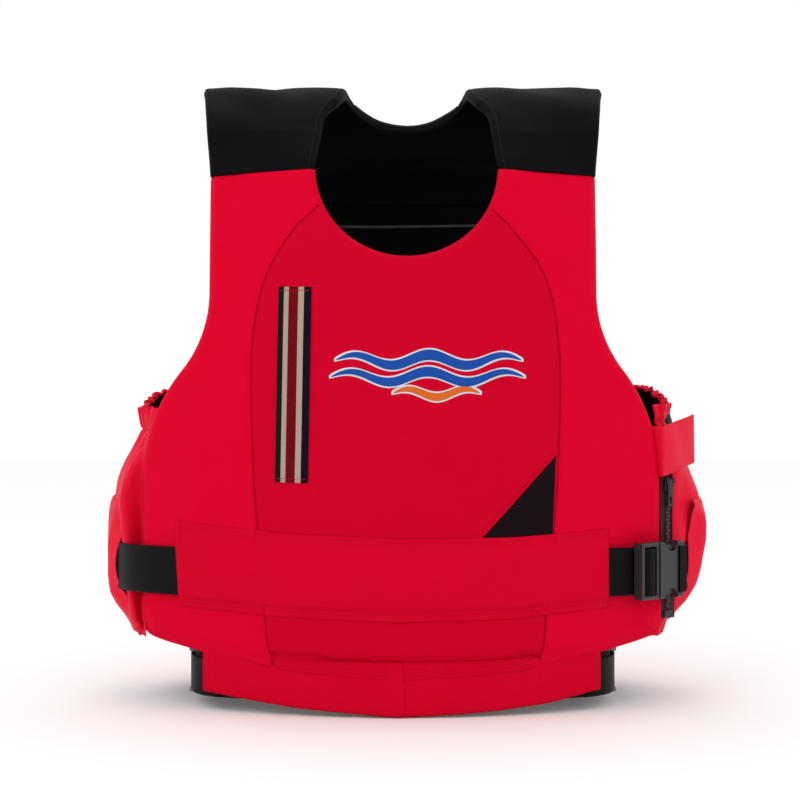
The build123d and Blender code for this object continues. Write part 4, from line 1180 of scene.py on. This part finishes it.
def build_flap():
    u, w = np.linspace(0, 1, 44), np.linspace(0, 1, 34)
    U, W = np.meshgrid(u, w, indexing="ij")
    G = flap_shape(U, W)
    uv = np.stack([U * FLAP_LEN, W * 41], 2)
    hem = np.minimum(np.minimum(W, 1 - W) * 41, (1 - U) * FLAP_LEN)
    groove = -0.3 * bell(hem - 3.4, 0.8)
    ob = band("storm_flap_cover", G, 0.9 + groove, -0.9, red_side_painted_light, uv)
    on_vest(ob, "red_fabric", "storm_flap", body="flap")
    # the root between the pad's edge and the hinge
    r = np.linspace(0, 1, 8)
    R_, W_ = np.meshgrid(r, w, indexing="ij")
    at_hinge = flap_shape(np.zeros_like(W_), W_)
    edge = pad_edge_x(at_hinge[..., 2])
    start = np.stack([edge - 3.0, np.full_like(edge, -60.0), at_hinge[..., 2]], -1)
    G2 = start * (1 - R_[..., None]) + at_hinge * R_[..., None]
    uv2 = np.stack([R_ * 10 - 10, W_ * 41], 2)
    ob = band("storm_flap_root", G2, 0.9, -0.9, red_side_painted_light, uv2)
    on_vest(ob, "red_fabric", "flap_margin")


build_flap()


# ---- chest tape, mesh corner and print ----------------------------------------------------------------
def tape_material():
    m, n, l, b = new_material("striped_tape", (0.2, 0.2, 0.2), 0.75, specular=0.08)
    weave, tc = weave_height(n, l, 1.1, True, skew=True)
    sep = n.new("ShaderNodeSeparateXYZ")
    l.new(tc.outputs["UV"], sep.inputs[0])
    share = math_node(n, l, "DIVIDE", sep.outputs[0], 0.0262)
    ramp = n.new("ShaderNodeValToRGB")
    l.new(share, ramp.inputs[0])
    ramp.color_ramp.interpolation = "CONSTANT"
    stops = [(0.0, (0.004, 0.010, 0.007)), (0.16, (0.50, 0.37, 0.28)), (0.31, (0.175, 0.0008, 0.007)),
             (0.61, (0.50, 0.37, 0.28)),
             (0.79, (0.004, 0.003, 0.012))]
    el = ramp.color_ramp.elements
    while len(el) < len(stops):
        el.new(0.5)
    for e, (p, c) in zip(el, stops):
        e.position, e.color = p, (*c, 1)
    value = math_node(n, l, "ADD", math_node(n, l, "MULTIPLY", weave, 0.42), 0.95)
    l.new(scaled(n, l, ramp.outputs[0], value), b.inputs["Base Color"])
    l.new(bump_node(n, l, weave, 0.15), b.inputs["Normal"])
    return m


def mesh_material():
    m, n, l, b = new_material("mesh_cloth", (0.012, 0.006, 0.009), 0.8, specular=0.1)
    weave, _ = weave_height(n, l, 1.7, True, skew=True)
    hole = math_node(n, l, "GREATER_THAN", weave, 0.35)
    value = math_node(n, l, "SUBTRACT", 1.35, hole)
    l.new(scaled(n, l, (0.008, 0.0022, 0.0038), value), b.inputs["Base Color"])
    bump = n.new("ShaderNodeBump")
    bump.inputs["Distance"].default_value = 0.0003
    bump.invert = True
    l.new(weave, bump.inputs["Height"])
    l.new(bump.outputs[0], b.inputs["Normal"])
    return m


def build_tape():
    cx, cz, w, h, turn = -88.5, 268.5, 26.0, 157.0, math.radians(-1.0)
    nu, nv = 14, 80
    U, W = np.meshgrid(np.linspace(0, 1, nu), np.linspace(0, 1, nv), indexing="ij")
    a, b = (U - 0.5) * w, (W - 0.5) * h
    P = np.stack([(cx + a * math.cos(turn) - b * math.sin(turn)).ravel(),
                  (cz + a * math.sin(turn) + b * math.cos(turn)).ravel()], 1)
    lift = 0.9 + 0.5 * (np.sin(W * math.pi) ** 2).ravel() + 0.2 * waves(P, 40.0, 81)
    end = np.minimum(W, 1 - W).ravel() * h
    lift = lift - 0.4 * bell(end - 2.6, 0.8)
    G = front_place(P, front_top(P) - lift).reshape(nu, nv, 3)
    ob = band("chest_tape_web", G, 0.35, -0.6, tape_material(), np.stack([U * 26.2, W * h], 2))
    on_vest(ob, "striped_tape", "chest_tape")
    for e in (2.6, h - 2.6):
        row = np.stack([np.linspace(-w / 2 + 1, w / 2 - 1, 20), np.full(20, e - h / 2)], 1)
        q = np.stack([cx + row[:, 0] * math.cos(turn) - row[:, 1] * math.sin(turn),
                      cz + row[:, 0] * math.sin(turn) + row[:, 1] * math.cos(turn)], 1)
        p, nn = surface_line(lambda P: front_place(P, front_top(P) - 1.0), q)
        stitch_row("red", p + nn * 0.3, nn, pitch=2.4, length=1.8)


def patch(name, loop, lift, thick, material, slot_name, nodes=(), cell=4.0):
    loop = np.array(loop, float)
    V, F = triangulate(loop, cell, rings=(1.0,))
    base = front_top(V)
    ob = slab(name, V, F, front_place, base - lift, base - lift + thick, material, wall=1)
    return on_vest(ob, slot_name, *nodes)


def build_mesh_corner():
    top, right, left = (124.2, 211.0), (121.4, 142.0), (60.5, 142.0)
    loop = chain(line(left, right), line(right, top), curve([top, (108, 193.5), (92, 176.0), (76, 158.5), left], 3.0))
    patch("pocket_mesh", loop, 0.35, 0.7, mesh_material(), "mesh", ("pocket_mesh_insert",))
    edge = np.array(curve([top, (108, 193.5), (92, 176.0), (76, 158.5), left], 2.0))
    strip = chain([tuple(p) for p in edge], [tuple(p + np.array([-1.6, 1.5])) for p in edge[::-1]])
    patch("pocket_mesh_binding", strip, 0.8, 1.2, red_fabric, "red_fabric", cell=2.5)


def print_material(name, color):
    m, n, l, b = new_material(name, color, 0.5, specular=0.12)
    coord = n.new("ShaderNodeTexCoord").outputs["Object"]
    l.new(bump_node(n, l, noise_node(n, l, coord, 700.0), 0.03), b.inputs["Normal"])
    return m


def swoosh(x0, x1, z, amp, thick, periods, grow=0.0):
    """A wave-shaped stripe, pointed at both ends, widened by grow."""
    n = 90
    t = np.linspace(0, 1, n)
    mid = z + amp * np.sin(2 * math.pi * periods * t)
    half = (thick / 2) * np.sin(math.pi * t) ** 0.55 + grow
    x = x0 - grow + (x1 - x0 + 2 * grow) * t
    return chain(list(zip(x, mid - half)), list(zip(x[::-1], (mid + half)[::-1])))


def build_print():
    white = print_material("print_white", (0.62, 0.63, 0.66))
    blue = print_material("print_blue", (0.006, 0.062, 0.33))
    orange = print_material("print_orange", (0.62, 0.12, 0.012))
    shapes = [("print_wave_top", -54, 96, 288, 4.2, 8.5, 2.5, blue),
              ("print_wave_middle", -58, 98, 274.5, 4.2, 8.0, 2.5, blue),
              ("print_wave_low", -8, 62, 261.5, 3.2, 6.4, 1.5, orange)]
    for name, x0, x1, z, amp, thick, per, mat in shapes:
        patch(name + "_edge", swoosh(x0, x1, z, amp, thick, per, 1.3), 0.28, 0.4, white, "red_fabric", cell=5.0)
        patch(name, swoosh(x0, x1, z, amp, thick, per), 0.42, 0.3, mat, "red_fabric", cell=5.0)


build_tape()
build_mesh_corner()
build_print()


# ---- piping on the back lining -------------------------------------------------------------------------
def tube(name, pts, r, material, sides=8):
    pts = np.asarray(pts, float)
    t = unit(np.gradient(pts, axis=0))
    n = unit(np.cross(t, np.array([0.0, 0.0, 1.0])))
    b = np.cross(t, n)
    rows = [pts + (n * math.cos(a) + b * math.sin(a)) * r for a in np.arange(sides) * 2 * math.pi / sides]
    verts = np.stack(rows, 1).reshape(-1, 3)
    faces = []
    for i in range(len(pts) - 1):
        for a in range(sides):
            c, d = i * sides + a, i * sides + (a + 1) % sides
            faces.append((c, d, d + sides, c + sides))
    faces += [tuple(range(sides - 1, -1, -1)), tuple((len(pts) - 1) * sides + a for a in range(sides))]
    uv = np.stack([np.repeat(np.arange(len(pts)) * 3.0, sides), np.tile(np.arange(sides) * r, len(pts))], 1)
    return make_object(name, verts, faces, material, uv)


# A dark red tube along each princess seam: painted shade of the seam's groove.
red_seam_painted_shade = cloth_material("red_seam_painted_shade", (0.30, 0.0006, 0.010), 0.8, 0.5, 0.03, 0.0, use_uv=False, specular=0.05)
for word, seam in (("left", seam_left), ("right", seam_right)):
    for side, skin_of, sign in (("front", front_skin, 1.0), ("back", back_skin, -1.0)):
        clear_of_neck = np.hypot(seam[:, 0] - NECK_X, seam[:, 1] - NECK_Z) > NECK_R + 1.5
        keep = seam[(seam[:, 1] > hem_z(seam[:, 0]) + 1.0) & ((side == "back") | clear_of_neck)]
        p, nn = surface_line(skin_of, keep, sign)
        on_vest(tube(f"{side}_seam_{word}", p + nn * 0.3, 0.36, red_seam_painted_shade, 6), "red_fabric")

xs = np.linspace(-146, 146, 110)
P_ = np.stack([xs, np.full_like(xs, 417.0) + 0.4 * np.sin(xs / 31.0)], 1)
on_vest(tube("back_piping", back_place(P_, pad_bottom_depth(P_) + 0.9), 1.25, piping_cloth), "grey_piping",
        "back_lining_piping")

xt, zt = np.meshgrid(np.linspace(-150, 150, 60), np.linspace(437, 450, 6), indexing="ij")
Pt = np.stack([xt.ravel(), zt.ravel()], 1)
tape_points = back_place(Pt, pad_bottom_depth(np.minimum(Pt, [999.0, 443.0])) + 1.0).reshape(60, 6, 3)
on_vest(band("back_inner_tape", tape_points, 0.5, -0.5, lining_cloth, np.stack([xt, zt], 2)), "lining")

# ---- rows of stitches on the pads and shoulders ---------------------------------------------------------
shoulder_skin = lambda P: shoulder_place(P, cap_top(P))
neck_row = np.array(neck_left + neck_right[::-1])
tn = unit(np.gradient(neck_row, axis=0))
row = neck_row + np.stack([tn[:, 1], -tn[:, 0]], 1) * -4.6
p, nn = surface_line(shoulder_skin, row)
stitch_row("black", p, nn, pitch=3.3)
for q in (split_l, split_r):
    q = np.array([(x, s) for x, s in q if abs(x) > 58 and abs(x) < 166])
    p, nn = surface_line(shoulder_skin, q + (0, 3.0))
    stitch_row("black", p, nn)
hem_row = np.array([(x, float(hem_z(x)) + 4.0) for x in np.linspace(-104, 104, 90)])
p, nn = surface_line(front_skin, hem_row)
stitch_row("red", p, nn)
p, nn = surface_line(back_skin, hem_row, -1.0)
stitch_row("red", p, nn)
for sgn in (-1, 1):
    q = np.array([(sgn * x, float(hem_z(x)) + 5.0) for x in np.linspace(108, 196, 40)])
    p, nn = surface_line(front_skin, q)
    stitch_row("red", p, nn)

thread_red = cloth_material("thread_red", (0.70, 0.008, 0.045), 0.6, 0.5, 0.03, 0.0, use_uv=False, specular=0.04)
thread_black = cloth_material("thread_black", (0.006, 0.006, 0.008), 0.5, 0.5, 0.03, 0.2, use_uv=False)
finish_threads("red", thread_red, "red_fabric")
finish_threads("black", thread_black, "neoprene")

# ---- finishes of the CAD pieces that stay -----------------------------------------------------------------
FINISH = [
    (webbing, ("belt_roll", "belt_socket_loop", "shoulder_webbing_left", "shoulder_webbing_right")),
    (buckle_plastic, ("buckle_socket", "buckle_plug", "buckle_arm_upper", "buckle_arm_lower")),
    (grey_plastic, ("strap_adjuster_left", "strap_adjuster_right")),
    (zip_cloth, ("zip_tape",)),
    (zip_plastic, ("zip_teeth", "zip_slider", "zip_pull", "zip_bottom_stop")),
    (hook_loop, ("flap_hook_patch", "flap_loop_patch")),
]
for material, nodes in FINISH:
    for node in nodes:
        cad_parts[node].material_slots[0].material = material


# ---- camera, stage and lights ---------------------------------------------------------------------


def setup_stage():
    scene = bpy.context.scene
    cam = bpy.data.cameras.new("camera")
    cam.lens, cam.sensor_width = 78.75, 36.0
    cam_ob = bpy.data.objects.new("camera", cam)
    scene.collection.objects.link(cam_ob)
    cam_ob.location = (-0.0024, -1.530, 0.256)
    cam_ob.rotation_euler = (math.radians(90), 0, 0)
    scene.camera = cam_ob
    scene.view_settings.view_transform = "Standard"
    scene.view_settings.look = "None"
    white = new_material("stage_white", (0.97, 0.97, 0.97), 0.9, specular=0.0)[0]
    me = bpy.data.meshes.new("floor")
    me.from_pydata([(x, y, -0.0002) for x, y in ((-6, -6), (6, -6), (6, 6), (-6, 6))], [], [(0, 1, 2, 3)])
    me.materials.append(white)
    floor = bpy.data.objects.new("floor", me)
    scene.collection.objects.link(floor)
    world = bpy.data.worlds.new("studio")
    world.use_nodes = True
    world.node_tree.nodes["Background"].inputs[0].default_value = (1, 1, 1, 1)
    world.node_tree.nodes["Background"].inputs[1].default_value = 1.0
    scene.world = world

    def area(name, loc, target, size, power, color=(1, 1, 1)):
        light = bpy.data.lights.new(name, "AREA")
        light.shape = "RECTANGLE"
        light.size, light.size_y = size
        light.energy = power
        light.color = color
        ob = bpy.data.objects.new(name, light)
        scene.collection.objects.link(ob)
        ob.location = loc
        ob.rotation_euler = (Vector(target) - Vector(loc)).to_track_quat("-Z", "Y").to_euler()

    area("key", (-1.1, -1.5, 1.5), (0, 0, 0.25), (1.2, 1.2), 5.5)
    area("fill", (1.5, -1.2, 0.9), (0, 0, 0.25), (1.2, 1.2), 2.0)
    area("top", (0.0, 0.3, 1.9), (0, 0, 0.3), (1.4, 1.0), 3.0)


setup_stage()
